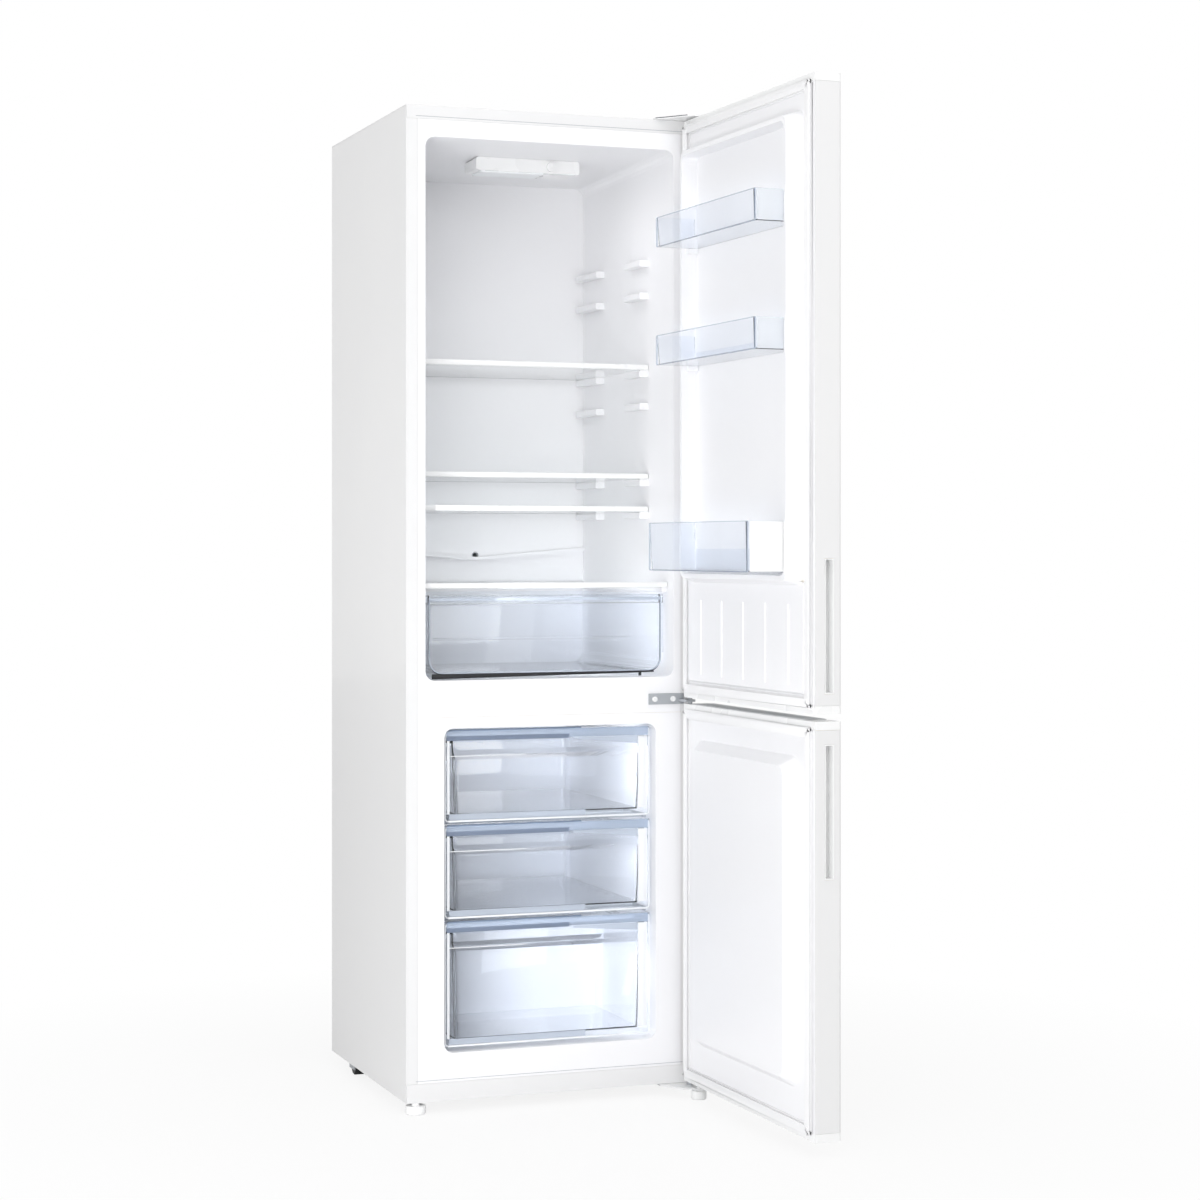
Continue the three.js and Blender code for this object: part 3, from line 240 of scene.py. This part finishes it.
# %% Metals and foam
zinc_plated_steel = surface("zinc_plated_steel", "#b8bbbf", 0.38, 3.0, 0.03, "#a8acb1", metallic=0.5)
# A lighter copy of the zinc: painted light for the parts that catch more light.
painted_light_zinc = surface("bright_zinc_plated_steel", "#fafafa", 0.25, 3.0, 0.02, "#f0f1f2", metallic=0.3)
# Painted shade for the hinge's slanting edge.
steel_edge_in_painted_shade = surface("sheared_steel_edge", "#6d7175", 0.45, 1.0, 0.02, "#63676b", metallic=0.5)
black_enamel = surface("black_baked_enamel", "#18191b", 0.32, 2.0, 0.05, "#202124", coat=0.4)
drawn_aluminium = surface("drawn_aluminium", "#c8cbcf", 0.42, 1.5, 0.03, "#bcc0c5", metallic=0.9)
polyurethane_foam = surface("polyurethane_foam", "#e4d6a4", 0.9, 5.0, 0.8, "#d8c790")
print("materials:", len(bpy.data.materials))

# %% [markdown]
# ## Dressing the solids
#
# Each solid says in its record what it is made of. Materials could be picked piece by piece, but a table
# from stuff to finish can't forget one. Only the screw heads and the two outer hinge plates, which catch
# more light, are painted brighter with a lighter copy of the zinc.

# %% Dress the solids
FINISHES = {
    "white_steel": enamelled_steel,
    "white_plastic": white_abs,
    "liner_plastic": liner_polystyrene,
    "grey_plastic": grey_polypropylene,
    "foam": polyurethane_foam,
    "steel": zinc_plated_steel,
    "black_enamel": black_enamel,
    "seal_rubber": soft_pvc,
    "black_plastic": black_polypropylene,
    "bare_aluminium": drawn_aluminium,
    "clear_plastic": clear_polystyrene,
    "shelf_glass": toughened_glass,
}
BRIGHT = (
    "middle_hinge_screw_inner",
    "middle_hinge_screw_outer",
    "top_hinge_bracket",
    "bottom_hinge_bracket",
)
slot_of = {part["node"]: part["material_slot"] for part in frame["record"]["subparts"]}
for name, node in nodes.items():
    node.data.materials.clear()
    node.data.materials.append(painted_light_zinc if name in BRIGHT else FINISHES[slot_of[name]])
print("dressed", len(nodes), "solids in", len(FINISHES), "finishes")

# %% [markdown]
# ## Helpers for modelling
#
# Each new piece starts as a primitive at its size and place, is shaped in edit mode, and is finished with
# modifiers. Meshes could be written down corner by corner, but then no one could follow them by hand. An
# operator works on all that is selected, so everything is deselected first.


# %% Start, select and finish
def placed(name, place, stretch=(1, 1, 1)):
    """Names the primitive just added, moves and stretches it, and applies both to its mesh."""
    piece = bpy.context.object
    piece.name = name
    piece.location = place
    piece.scale = stretch
    bpy.ops.object.transform_apply(location=True, rotation=True, scale=True)
    return piece


def block(name, low, high):
    """A box between two corners."""
    bpy.ops.object.select_all(action="DESELECT")
    bpy.ops.mesh.primitive_cube_add(size=1)
    middle = [(a + b) / 2 for a, b in zip(low, high)]
    return placed(name, middle, [b - a for a, b in zip(low, high)])


def pick(piece):
    """Selects one piece alone, so that an operator acts on no other."""
    bpy.ops.object.select_all(action="DESELECT")
    bpy.context.view_layer.objects.active = piece
    piece.select_set(True)


def select_faces(piece, test):
    """Opens edit mode with the faces selected that pass a test of their centre and normal."""
    pick(piece)
    for part in (*piece.data.vertices, *piece.data.edges):
        part.select = False
    for face in piece.data.polygons:
        face.select = bool(test(face.center, face.normal))
    bpy.ops.object.mode_set(mode="EDIT")
    bpy.ops.mesh.select_mode(type="FACE")


def modifier(piece, kind, **settings):
    """Adds a modifier with its settings and applies it."""
    pick(piece)
    made = piece.modifiers.new(kind.lower(), kind)
    for key, value in settings.items():
        setattr(made, key, value)
    bpy.ops.object.modifier_apply(modifier=made.name)


SHARP = math.radians(35)


def soften(piece, width, segments=2):
    """Bevels the edges that turn by more than the sharp angle."""
    modifier(piece, "BEVEL", width=width, segments=segments, limit_method="ANGLE", angle_limit=SHARP)


def finish_piece(piece, material, body):
    """Turns the faces outward, shades the piece, and gives it its finish and the body that it rides on."""
    pick(piece)
    bpy.ops.object.mode_set(mode="EDIT")
    bpy.ops.mesh.select_all(action="SELECT")
    bpy.ops.mesh.remove_doubles(threshold=1e-6)
    bpy.ops.mesh.normals_make_consistent(inside=False)
    bpy.ops.object.mode_set(mode="OBJECT")
    bpy.ops.object.shade_smooth_by_angle(angle=SHARP)
    piece.data.materials.clear()
    piece.data.materials.append(material)
    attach(piece, body)
    return piece


def joined(name, pieces):
    bpy.ops.object.select_all(action="DESELECT")
    for piece in pieces:
        piece.select_set(True)
    bpy.context.view_layer.objects.active = pieces[0]
    bpy.ops.object.join()
    pieces[0].name = name
    return pieces[0]


def copied(piece, name):
    twin = piece.copy()
    twin.data = piece.data.copy()
    twin.name = name
    bpy.context.collection.objects.link(twin)
    return twin


print("edges are sharp above", round(math.degrees(SHARP)), "degrees")

# %% [markdown]
# ## Rims of the clear drawers
#
# Light that has run along a clear wall leaves at its edge, so the rim round a drawer's front is bright,
# and here that light is painted: the rim has a near-white finish. It could be a curve with a round
# section, but a moulded rim is flat. So each rim is a plane with rounded corners, inset to a ring and
# thickened to a frame.


# %% Frame across X and Z
def ring(name, x, z, y, border, radius, thick):
    """An open frame that faces -Y."""
    bpy.ops.object.select_all(action="DESELECT")
    bpy.ops.mesh.primitive_plane_add(size=1, rotation=(math.pi / 2, 0, 0))
    middle = ((x[0] + x[1]) / 2, y, (z[0] + z[1]) / 2)
    piece = placed(name, middle, (x[1] - x[0], z[1] - z[0], 1))
    bpy.ops.object.mode_set(mode="EDIT")
    bpy.ops.mesh.select_all(action="SELECT")
    bpy.ops.mesh.bevel(offset=radius, segments=5, affect="VERTICES")
    bpy.ops.mesh.select_all(action="SELECT")
    bpy.ops.mesh.inset(thickness=border)
    bpy.ops.mesh.delete(type="FACE")
    bpy.ops.object.mode_set(mode="OBJECT")
    modifier(piece, "SOLIDIFY", thickness=thick, offset=0)
    soften(piece, min(thick, border) / 5)
    return piece


LEVELS = ("top", "middle", "bottom")
RIM = 0.0022
for level in LEVELS:
    low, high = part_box("freezer_drawer_" + level)
    across, upright = (low[0], high[0]), (low[2], high[2])
    rim = ring(f"freezer_drawer_{level}_rim", across, upright, low[1] + 0.001, RIM, 0.008, 0.004)
    # The rim's near-white finish is a painted highlight.
    finish_piece(rim, painted_highlight_edge, level + "_freezer_drawer")
print("drawer rims:", len(LEVELS), "of", 1000 * RIM, "mm")

# %% [markdown]
# ## Edges of the freezer drawers
#
# A clear drawer looks bluest where the eye looks through a thick part: in the deep lip across the top.
# Under the lip a bluer strip is painted shade, and a dark strip along the lip's upper edge is painted
# shadow of the gap above it. The lower edge, a line along the bend that crosses the left of the front,
# and the tray's walls seen end on behind the front are painted highlights. At the right a gusset
# stiffens the lip. A renderer could gather that light by itself, in thousands of samples. Here each edge
# is a thin strip with its own tint, stretched and bevelled in place.


# %% Strips along the edges
def strip(name, low, high, material, body):
    """A softened strip between two corners."""
    piece = block(name, low, high)
    soften(piece, min(b - a for a, b in zip(low, high)) / 4)
    return finish_piece(piece, material, body)


LIP, SILL, FOOT = 0.016, 0.0034, 0.0148
for level in LEVELS:
    low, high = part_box("freezer_drawer_" + level)
    name, body = f"freezer_drawer_{level}_", level + "_freezer_drawer"
    face = low[1] - 0.0012
    near = face - 0.001
    left, right, base, top = low[0], high[0], low[2], high[2]
    width = right - left
    inner = base + 0.0146, top - 0.017
    # Painted light and shade: the strip under the lip is painted shade, the dark strip along the top a painted
    # shadow, and the white strips along the bend, the lower edge and the walls painted highlights.
    edges = {
        "lip": (blue_edge, (left + 0.003, face - 0.0006, top - LIP), (right - 0.003, face, top)),
        "fold": (edge_tint_and_painted_shade, (left + 0.004, near, top - 0.0175), (left + 0.6 * width, face, top - 0.0095)),
        "crest": (dark_edge, (left + 0.005, near, top), (left + 0.66 * width, face + 0.002, top + 0.0028)),
        "ledge": (painted_highlight_edge, (left + 0.006, near, top - 0.046), (left + 0.155, face, top - 0.0444)),
        "foot": (pale_edge, (left + 0.008, near, base + 0.004), (left + 0.68 * width, face, base + FOOT)),
        "sill": (painted_highlight_edge, (left + 0.006, face - 0.002, base), (right - 0.006, face, base + SILL)),
        "left_wall": (painted_highlight_edge, (left + 0.004, face - 0.0008, inner[0]), (left + 0.009, face, inner[1])),
        "right_wall": (
            painted_highlight_edge,
            (right - 0.023, face - 0.0008, inner[0]),
            (right - 0.006, face, inner[1]),
        ),
    }
    for part, (material, front_low, back_high) in edges.items():
        strip(name + part, front_low, back_high, material, body)
    under_lip = top - 0.0166
    front_low = (left + 0.62 * width, face - 0.0004, under_lip - 0.0035)
    gusset = block(name + "gusset", front_low, (right - 0.024, face, under_lip))
    select_faces(gusset, lambda centre, normal: normal.x > 0.9)
    bpy.ops.transform.resize(value=(1, 1, 4), center_override=(0, 0, under_lip))
    bpy.ops.object.mode_set(mode="OBJECT")
    finish_piece(gusset, pale_edge, body)
print("edges on each drawer:", len(edges) + 1)

# %% [markdown]
# ## Edges of the crisper
#
# The crisper's front has round lower corners and a rolled lip on top. Its rim could be drawn as an open
# curve. Here it is the same ring as before, made too high and cut off under the lip. Below runs a black
# strip that tapers towards the right: painted shadow of the gap under the tray.

# %% Crisper edges
low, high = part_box("crisper_drawer")
FLOOR_OF_CRISPER = low[2] + 0.0105
across = (low[0] + 0.004, high[0] - 0.004)
upright = (FLOOR_OF_CRISPER, high[2] + 0.03)
rim = ring("crisper_rim", across, upright, low[1] + 0.001, RIM, 0.024, 0.003)
bpy.ops.object.mode_set(mode="EDIT")
bpy.ops.mesh.select_all(action="SELECT")
cut_at = (0, 0, high[2] - 0.004)
bpy.ops.mesh.bisect(plane_co=cut_at, plane_no=(0, 0, 1), clear_outer=True, use_fill=True)
bpy.ops.object.mode_set(mode="OBJECT")
finish_piece(rim, pale_edge, "crisper")
lip_low = (across[0], low[1] - 0.0006, high[2] - 0.0105)
lip_high = (across[1], low[1] + 0.0006, high[2] - 0.0045)
strip("crisper_lip", lip_low, lip_high, pale_edge, "crisper")
# Painted shadow: a black strip for the dark gap under the tray's front.
tray_shadow_top = FLOOR_OF_CRISPER - 0.0003
tray_shadow = block(
    "crisper_lower_edge",
    (across[0] + 0.006, low[1] + 0.001, low[2] + 0.0008),
    (across[1] - 0.014, low[1] + 0.003, tray_shadow_top),
)
select_faces(tray_shadow, lambda centre, normal: normal.x > 0.9)
bpy.ops.transform.resize(value=(1, 1, 0.3), center_override=(0, 0, tray_shadow_top))
bpy.ops.object.mode_set(mode="OBJECT")
soften(tray_shadow, 0.0006)
finish_piece(tray_shadow, black_polypropylene, "crisper")
print("crisper rim:", [round(v, 3) for v in rim.dimensions])

# %% [markdown]
# ## Door pieces are built with the door shut
#
# The doors stand open at 91 degrees, and a piece could be built at that angle. It is easier to measure
# square to the axes, so it is built with the door shut, and its mesh is then turned about the line of pins.
# Places on the shut door are measured from that line: its free edge lies to the left and its hinge edge a
# little to the right, and its inner face is 9 mm behind it.

# %% Turn about the pins
swing = next(joint for joint in frame["joints"] if joint["name"] == "upper_door_swing")
PIVOT = Vector((swing["pos_m"][0], swing["pos_m"][1], 0))
OPEN_ANGLE = math.radians(91)
OPEN = Matrix.Translation(PIVOT) @ Matrix.Rotation(OPEN_ANGLE, 4, "Z")


def hang(piece):
    """Turns a piece that was built on the shut door to where the open door is."""
    piece.data.transform(OPEN)
    return piece


PINS_FROM_SIDE = 0.540
DOOR_FREE = 0.003 - PINS_FROM_SIDE
DOOR_HINGE = 0.548 - PINS_FROM_SIDE
DOOR_INNER = 0.009
print("pins at", [round(v, 4) for v in PIVOT])

# %% [markdown]
# ## Rims and ends of the balconies
#
# A balcony's rim is faint, but its lower edge and the corner nearest the eye gather a deep blue. Its ends
# are thicker, and carry a painted highlight: cloudy on the upper two, opaque white on the bottle balcony.
# The tray narrows downwards by 3 mm a side, and its end plates could lean with it. The eye looks square at
# them and doesn't see that, so they stand upright, and only the lower edge is shorter.

# %% Balcony rims and ends
BALCONY_SIDE = 0.0615
TAPER = 0.003
# The end finishes are painted highlights.
BALCONIES = {"top": (0.082, painted_highlight_end), "middle": (0.082, painted_highlight_end), "bottle": (0.096, white_abs)}
left, right = DOOR_FREE + BALCONY_SIDE, DOOR_HINGE - BALCONY_SIDE
for level, (reach, end_highlight_finish) in BALCONIES.items():
    low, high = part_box("balcony_" + level)
    name, body = f"balcony_{level}_", level + "_balcony"
    front = DOOR_INNER + reach
    base, top = low[2], high[2]
    rim = ring(name + "rim", (left, right), (base, top), front - 0.0015, 0.0011, 0.003, 0.003)
    finish_piece(hang(rim), pale_edge, body)
    edges = {
        "lower_edge": (
            edge_tint_and_painted_shade,
            (left + TAPER, front - 0.003, base - 0.0002),
            (right - TAPER, front - 0.0016, base + 0.0016),
        ),
        "corner": (
            edge_tint_and_painted_shade,
            (left - 0.0002, front - 0.0007, base + 0.002),
            (left + 0.0007, front + 0.0002, top - 0.001),
        ),
        "end": (
            end_highlight_finish,
            (left - 0.00085, DOOR_INNER + 0.01, base + 0.001),
            (left - 0.00025, front - 0.005, top - 0.001),
        ),
        "end_edge": (
            pale_edge,
            (left + 0.002, DOOR_INNER + 0.003, base + 0.001),
            (left + 0.003, DOOR_INNER + 0.011, top),
        ),
    }
    for part, (material, near, far) in edges.items():
        piece = block(name + part, near, far)
        soften(piece, 0.0002)
        finish_piece(hang(piece), material, body)
print("balconies with rims and ends:", len(BALCONIES))

# %% [markdown]
# ## Door gaskets
#
# A refrigerator's gasket is soft PVC: a bellows that gives, and in front of it a flat tube that holds the
# magnet strip. It could be one profile swept round the door. Three nested rings do the same, and each turns
# its corners tightly: a flat foot, a narrow bellows and a wider, rounded sealing bead.


# %% Gasket with bellows and bead
def gasket(name, z):
    """Three nested rings on the inner face of a shut door that reaches from z[0] to z[1]."""
    rings = []
    for part, inset, out, border, radius, thick in (
        ("_foot", 0.010, 0.0012, 0.018, 0.006, 0.0016),
        ("_waist", 0.014, 0.0034, 0.008, 0.004, 0.0036),
        ("_bead", 0.011, 0.0064, 0.0145, 0.005, 0.0036),
    ):
        x = (DOOR_FREE + inset, DOOR_HINGE - inset)
        upright = (z[0] + inset, z[1] - inset)
        rings.append(ring(name + part, x, upright, DOOR_INNER + out, border, radius, thick))
    return joined(name, rings)


for door in ("upper_door", "lower_door"):
    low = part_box(door + "_bottom_cap")[0]
    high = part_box(door + "_top_cap")[1]
    seal = gasket(door + "_seal", (low[2], high[2]))
    finish_piece(hang(seal), soft_pvc, door)
    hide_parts(door + "_gasket")
print("gaskets: 2")

# %% [markdown]
# ## Grey strip on the lower door
#
# Between the doors the eye looks down on the lower door's top cap, which lies in the upper door's shade.
# A pale grey strip on the cap paints that shade. It is flat, so a softened block is enough.

# %% Strip on the top cap
cap_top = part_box("lower_door_top_cap")[1][2]
# Painted shade of the gap between the doors.
cover = block(
    "lower_door_cover_strip",
    (DOOR_FREE + 0.055, DOOR_INNER - 0.046, cap_top),
    (DOOR_HINGE - 0.03, DOOR_INNER - 0.003, cap_top + 0.0012),
)
soften(cover, 0.0004)
finish_piece(hang(cover), pale_grey_polypropylene, "lower_door")
print("cover strip:", [round(v, 3) for v in cover.dimensions])

# %% [markdown]
# ## Rear edges of the shelves
#
# Each shelf is toughened glass. Its ground rear edge lets no light through and shows as a thin dark line.
# The pane could be split into faces with two finishes, but the solids stay as they are, so a strip stands
# over the edge.

# %% Ground edges
PANES = {
    "shelf_glass_top": "top_shelf",
    "shelf_glass_middle": "middle_shelf",
    "shelf_glass_low": "low_shelf",
    "crisper_cover_glass": "crisper_cover",
}
for name, body in PANES.items():
    low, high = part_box(name)
    front_low = (low[0] + 0.002, high[1] - 0.0008, low[2] - 0.0002)
    back_high = (high[0] - 0.002, high[1] + 0.0008, high[2] + 0.0002)
    strip(name + "_ground_edge", front_low, back_high, glass_edge, body)
print("ground edges:", len(PANES))

# %% [markdown]
# ## Seams of the cabinet
#
# The front frame is folded from the casing. A narrow seam runs under its top rail, and another above the
# base. A groove can't be cut into the solids, so each seam is a grey line that stands a third of a
# millimetre proud.

# %% Seams
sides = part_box("side_panel_left")[0][0] + 0.018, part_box("side_panel_right")[1][0] - 0.018
SEAMS = {"cabinet_top_seam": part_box("top_panel")[1][2] - 0.0195, "cabinet_base_seam": 0.058}
for name, level in SEAMS.items():
    front_low = (sides[0], CABINET_FACE - 0.0003, level - 0.0005)
    seam = block(name, front_low, (sides[1], CABINET_FACE + 0.0002, level + 0.0005))
    soften(seam, 0.0001)
    finish_piece(seam, grey_polypropylene, "cabinet")
print("seams:", len(SEAMS))

# %% [markdown]
# ## Screws
#
# The top hinge is held by two pan-head screws with a cross recess. The head is a short cylinder with a wide
# bevel, and two crossed blocks cut the recess. One is modelled and copied, because both are alike.


# %% Pan-head screw
def pan_head(name, radius, height):
    """A round head on the origin, its rim rolled over, with a cross cut into the top."""
    bpy.ops.object.select_all(action="DESELECT")
    bpy.ops.mesh.primitive_cylinder_add(vertices=24, radius=radius, depth=height)
    head = placed(name, (0, 0, height / 2))
    soften(head, height * 0.45, 3)
    for turn in (0, math.pi / 2):
        bpy.ops.object.select_all(action="DESELECT")
        bpy.ops.mesh.primitive_cube_add(size=1, location=(0, 0, height), rotation=(0, 0, turn))
        recess = bpy.context.object
        recess.scale = (radius * 1.1, radius * 0.24, height * 0.8)
        modifier(head, "BOOLEAN", operation="DIFFERENCE", object=recess)
        bpy.data.objects.remove(recess)
    return head


screw = pan_head("hinge_screw_first", 0.0048, 0.0024)
low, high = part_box("top_hinge_bracket")
places = [(low[0] + 0.024, high[1] - 0.007), (high[0] - 0.012, high[1] - 0.007)]
for number, (x, y) in enumerate(places):
    one = copied(screw, f"top_hinge_screw_{number + 1}")
    one.data.transform(Matrix.Translation((x, y, high[2] + 0.0001)))
    finish_piece(one, zinc_plated_steel, "cabinet")
bpy.data.objects.remove(screw)
print("top hinge screws:", len(places))

# %% [markdown]
# ## Sheared edge of the top hinge
#
# The hinge is punched from sheet. Its slanting edge shows as a thin dark line from below: a real edge,
# with its shade painted on as a dark strip. The strip is a block whose right end is moved forward, so
# that it follows the slant.

# %% Hinge edge
low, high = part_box("top_hinge_bracket")
front_low = (low[0], CABINET_FACE - 0.0006, high[2] - 0.0016)
edge = block("top_hinge_edge", front_low, (low[0] + 0.042, CABINET_FACE - 0.0001, high[2]))
select_faces(edge, lambda centre, normal: normal.x > 0.9)
bpy.ops.transform.translate(value=(0, low[1] + 0.010 - CABINET_FACE, 0))
bpy.ops.object.mode_set(mode="OBJECT")
finish_piece(edge, steel_edge_in_painted_shade, "cabinet")
print("hinge edge:", [round(v, 3) for v in edge.dimensions])

# %% [markdown]
# ## Lamp
#
# Behind the housing's front lies the bulb, and light leaves through a frosted lens in its underside. The
# lens is a block cut into a grid, with its outer edges rounded.

# %% Frosted lens
low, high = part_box("lamp_housing")
lens_low = (low[0] + 0.012, low[1] + 0.006, low[2] - 0.0025)
lens_high = (high[0] - 0.07, high[1] - 0.006, low[2] + 0.002)
lens_cover = block("lamp_lens", lens_low, lens_high)
bpy.ops.object.mode_set(mode="EDIT")
bpy.ops.mesh.select_all(action="SELECT")
bpy.ops.mesh.subdivide(number_cuts=3)
bpy.ops.object.mode_set(mode="OBJECT")
soften(lens_cover, 0.001)
finish_piece(lens_cover, frosted_lens, "cabinet")
print("lens:", [round(v, 3) for v in lens_cover.dimensions])

# %% [markdown]
# ## Condenser wires
#
# On the back, steel wires are welded across the condenser's tube. They spread its heat and stiffen it. They
# could be drawn one by one, but all are alike: one wire is modelled, and an array copies it across.

# %% Wires across the tubes
low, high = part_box("condenser")
WIRE = 0.0009
WIRES = 32
MARGIN = 0.05
bpy.ops.object.select_all(action="DESELECT")
bpy.ops.mesh.primitive_cylinder_add(vertices=6, radius=WIRE, depth=high[2] - low[2] - 0.02)
wire = placed("condenser_wires", (low[0] + MARGIN, high[1] + WIRE * 0.8, (low[2] + high[2]) / 2))
modifier(
    wire,
    "ARRAY",
    count=WIRES,
    use_relative_offset=False,
    use_constant_offset=True,
    constant_offset_displace=((high[0] - low[0] - 2 * MARGIN) / (WIRES - 1), 0, 0),
)
finish_piece(wire, black_enamel, "cabinet")
print("wires:", WIRES)

# %% [markdown]
# ## The white floor
#
# A product photographer puts white goods on a white sweep and lights them with large soft boxes, so that
# only the turn of a surface shows as grey. The floor is white paper. It could be a diffuse plane alone, but
# then its grey would show a horizon. So the camera sees it almost white, and only a breath of shadow stays
# under the feet.


# %% White floor
def sweep_material():
    """A pale floor that the camera sees as white, with a faint shadow left near the object."""
    material, tree, place = new_material("white_paper_sweep")
    path = add_node(tree, "ShaderNodeLightPath")
    distance = add_node(tree, "ShaderNodeVectorMath", {"operation": "LENGTH"}, {0: place})
    far = add_node(tree, "ShaderNodeMapRange", links={"Value": distance.outputs["Value"]})
    for name, value in {"From Min": 0.5, "From Max": 1.6, "To Min": 0.86, "To Max": 1.0}.items():
        far.inputs[name].default_value = value
    seen = {0: far.outputs[0], 1: path.outputs["Is Camera Ray"]}
    white = add_node(tree, "ShaderNodeMath", {"operation": "MULTIPLY"}, seen)
    paper = add_node(tree, "ShaderNodeBsdfDiffuse", Color=linear("#f3f3f3"))
    glow = add_node(tree, "ShaderNodeEmission", Color=linear("#ffffff"), Strength=1.0)
    layers = {0: white.outputs[0], 1: paper.outputs[0], 2: glow.outputs[0]}
    both = add_node(tree, "ShaderNodeMixShader", links=layers)
    finish_material(tree, both)
    return material


bpy.ops.object.select_all(action="DESELECT")
bpy.ops.mesh.primitive_plane_add(size=30, location=(0, 0, -0.0005))
floor = bpy.context.object
floor.name = "floor"
floor.data.materials.append(sweep_material())
print("floor:", [round(v, 1) for v in floor.dimensions])

# %% [markdown]
# ## The white room
#
# A picture of a studio could light the scene. A plain world is easier to set: it stands for the white room,
# and its light is a little stronger in front. The camera, mirror images and clear walls meet it as pure
# white.

# %% World
ROOM_FRONT, ROOM_BACK = 0.73, 0.58

world = bpy.data.worlds.new("white_room")
bpy.context.scene.world = world
world.use_nodes = True
room = world.node_tree
room.nodes.clear()
path = add_node(room, "ShaderNodeLightPath").outputs
rays = {0: path["Is Glossy Ray"], 1: path["Is Transmission Ray"]}
bent = add_node(room, "ShaderNodeMath", {"operation": "MAXIMUM"}, rays)
rays = {0: path["Is Camera Ray"], 1: bent.outputs[0]}
seen = add_node(room, "ShaderNodeMath", {"operation": "MAXIMUM"}, rays)
direction = add_node(room, "ShaderNodeTexCoord").outputs["Generated"]
parts = add_node(room, "ShaderNodeSeparateXYZ", links={0: direction})
depth = add_node(room, "ShaderNodeMapRange", links={"Value": parts.outputs["Y"]})
for name, value in {"From Min": -1.0, "From Max": 1.0, "To Min": ROOM_FRONT, "To Max": ROOM_BACK}.items():
    depth.inputs[name].default_value = value
white = linear("#ffffff")
ambient = add_node(room, "ShaderNodeBackground", links={"Strength": depth.outputs[0]}, Color=white)
backdrop = add_node(room, "ShaderNodeBackground", Color=white, Strength=1.0)
layers = {0: seen.outputs[0], 1: ambient.outputs[0], 2: backdrop.outputs[0]}
blend = add_node(room, "ShaderNodeMixShader", links=layers)
add_node(room, "ShaderNodeOutputWorld", links={"Surface": blend.outputs[0]})
print("room light in front and behind:", ROOM_FRONT, ROOM_BACK)

# %% [markdown]
# ## Soft boxes
#
# Light from a room alone is flat. One big box at the left shapes the doors and the casing, a low one
# brightens the casing's foot, and one overhead lights the top edges. Spot lamps could do it too, but
# their shadows would have hard edges.


# %% Soft boxes
def soft_box(name, place, target, size, watts):
    """A rectangular lamp at a place, turned to a target."""
    data = bpy.data.lights.new(name, "AREA")
    data.shape = "RECTANGLE"
    data.size, data.size_y = size
    data.energy = watts
    box = bpy.data.objects.new(name, data)
    box.location = place
    box.rotation_euler = (Vector(target) - Vector(place)).to_track_quat("-Z", "Y").to_euler()
    bpy.context.collection.objects.link(box)


SOFT_BOXES = {
    "key_box": ((-1.95, -2.75, 0.7), (0.0, 0.3, 0.7), (1.4, 1.2), 38.5),
    "low_left_box": ((-1.9, -0.8, 0.25), (-0.3, 0.3, 0.25), (0.8, 0.5), 4.6),
    "top_box": ((0.0, -1.6, 3.2), (0.0, -0.2, 0.6), (2.0, 2.0), 16),
}
for name, setting in SOFT_BOXES.items():
    soft_box(name, *setting)
print("soft boxes:", len(SOFT_BOXES))

# %% [markdown]
# ## Lamps inside
#
# The housing under the ceiling holds the real lamp. The room's light would also reach the back of the
# compartment and of the trays, because clear plastic passes nearly all of it, but a render loses much of it
# in several clear walls one behind the other. More light outside would bleach the casing, so small lamps
# stand just behind the fronts instead. They face backwards, so the eye never meets them.

# %% Small lamps in the compartment and the trays
low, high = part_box("lamp_housing")
across, forward = (low[0] + high[0]) / 2, low[1] - 0.02
soft_box("inside_lamp", (across, forward, low[2] - 0.01), (across, forward, 0), (0.19, 0.05), 0.22)

low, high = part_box("fridge_liner")
place = ((low[0] + high[0]) / 2 - 0.1, low[1] + 0.03, 0.95)
soft_box("compartment_lamp", place, (high[0], high[1], 0.9), (0.3, 0.3), 0.25)

TRAYS = {
    "crisper_drawer": 0.19,
    "freezer_drawer_top": 0.36,
    "freezer_drawer_middle": 0.2,
    "freezer_drawer_bottom": 0.13,
}
for name, watts in TRAYS.items():
    low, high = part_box(name)
    centre = [(a + b) / 2 for a, b in zip(low, high)]
    place = (centre[0] + 0.08, low[1] + 0.05, centre[2])
    soft_box(name + "_lamp", place, (high[0], high[1], centre[2] - 0.03), (0.2, 0.08), watts)
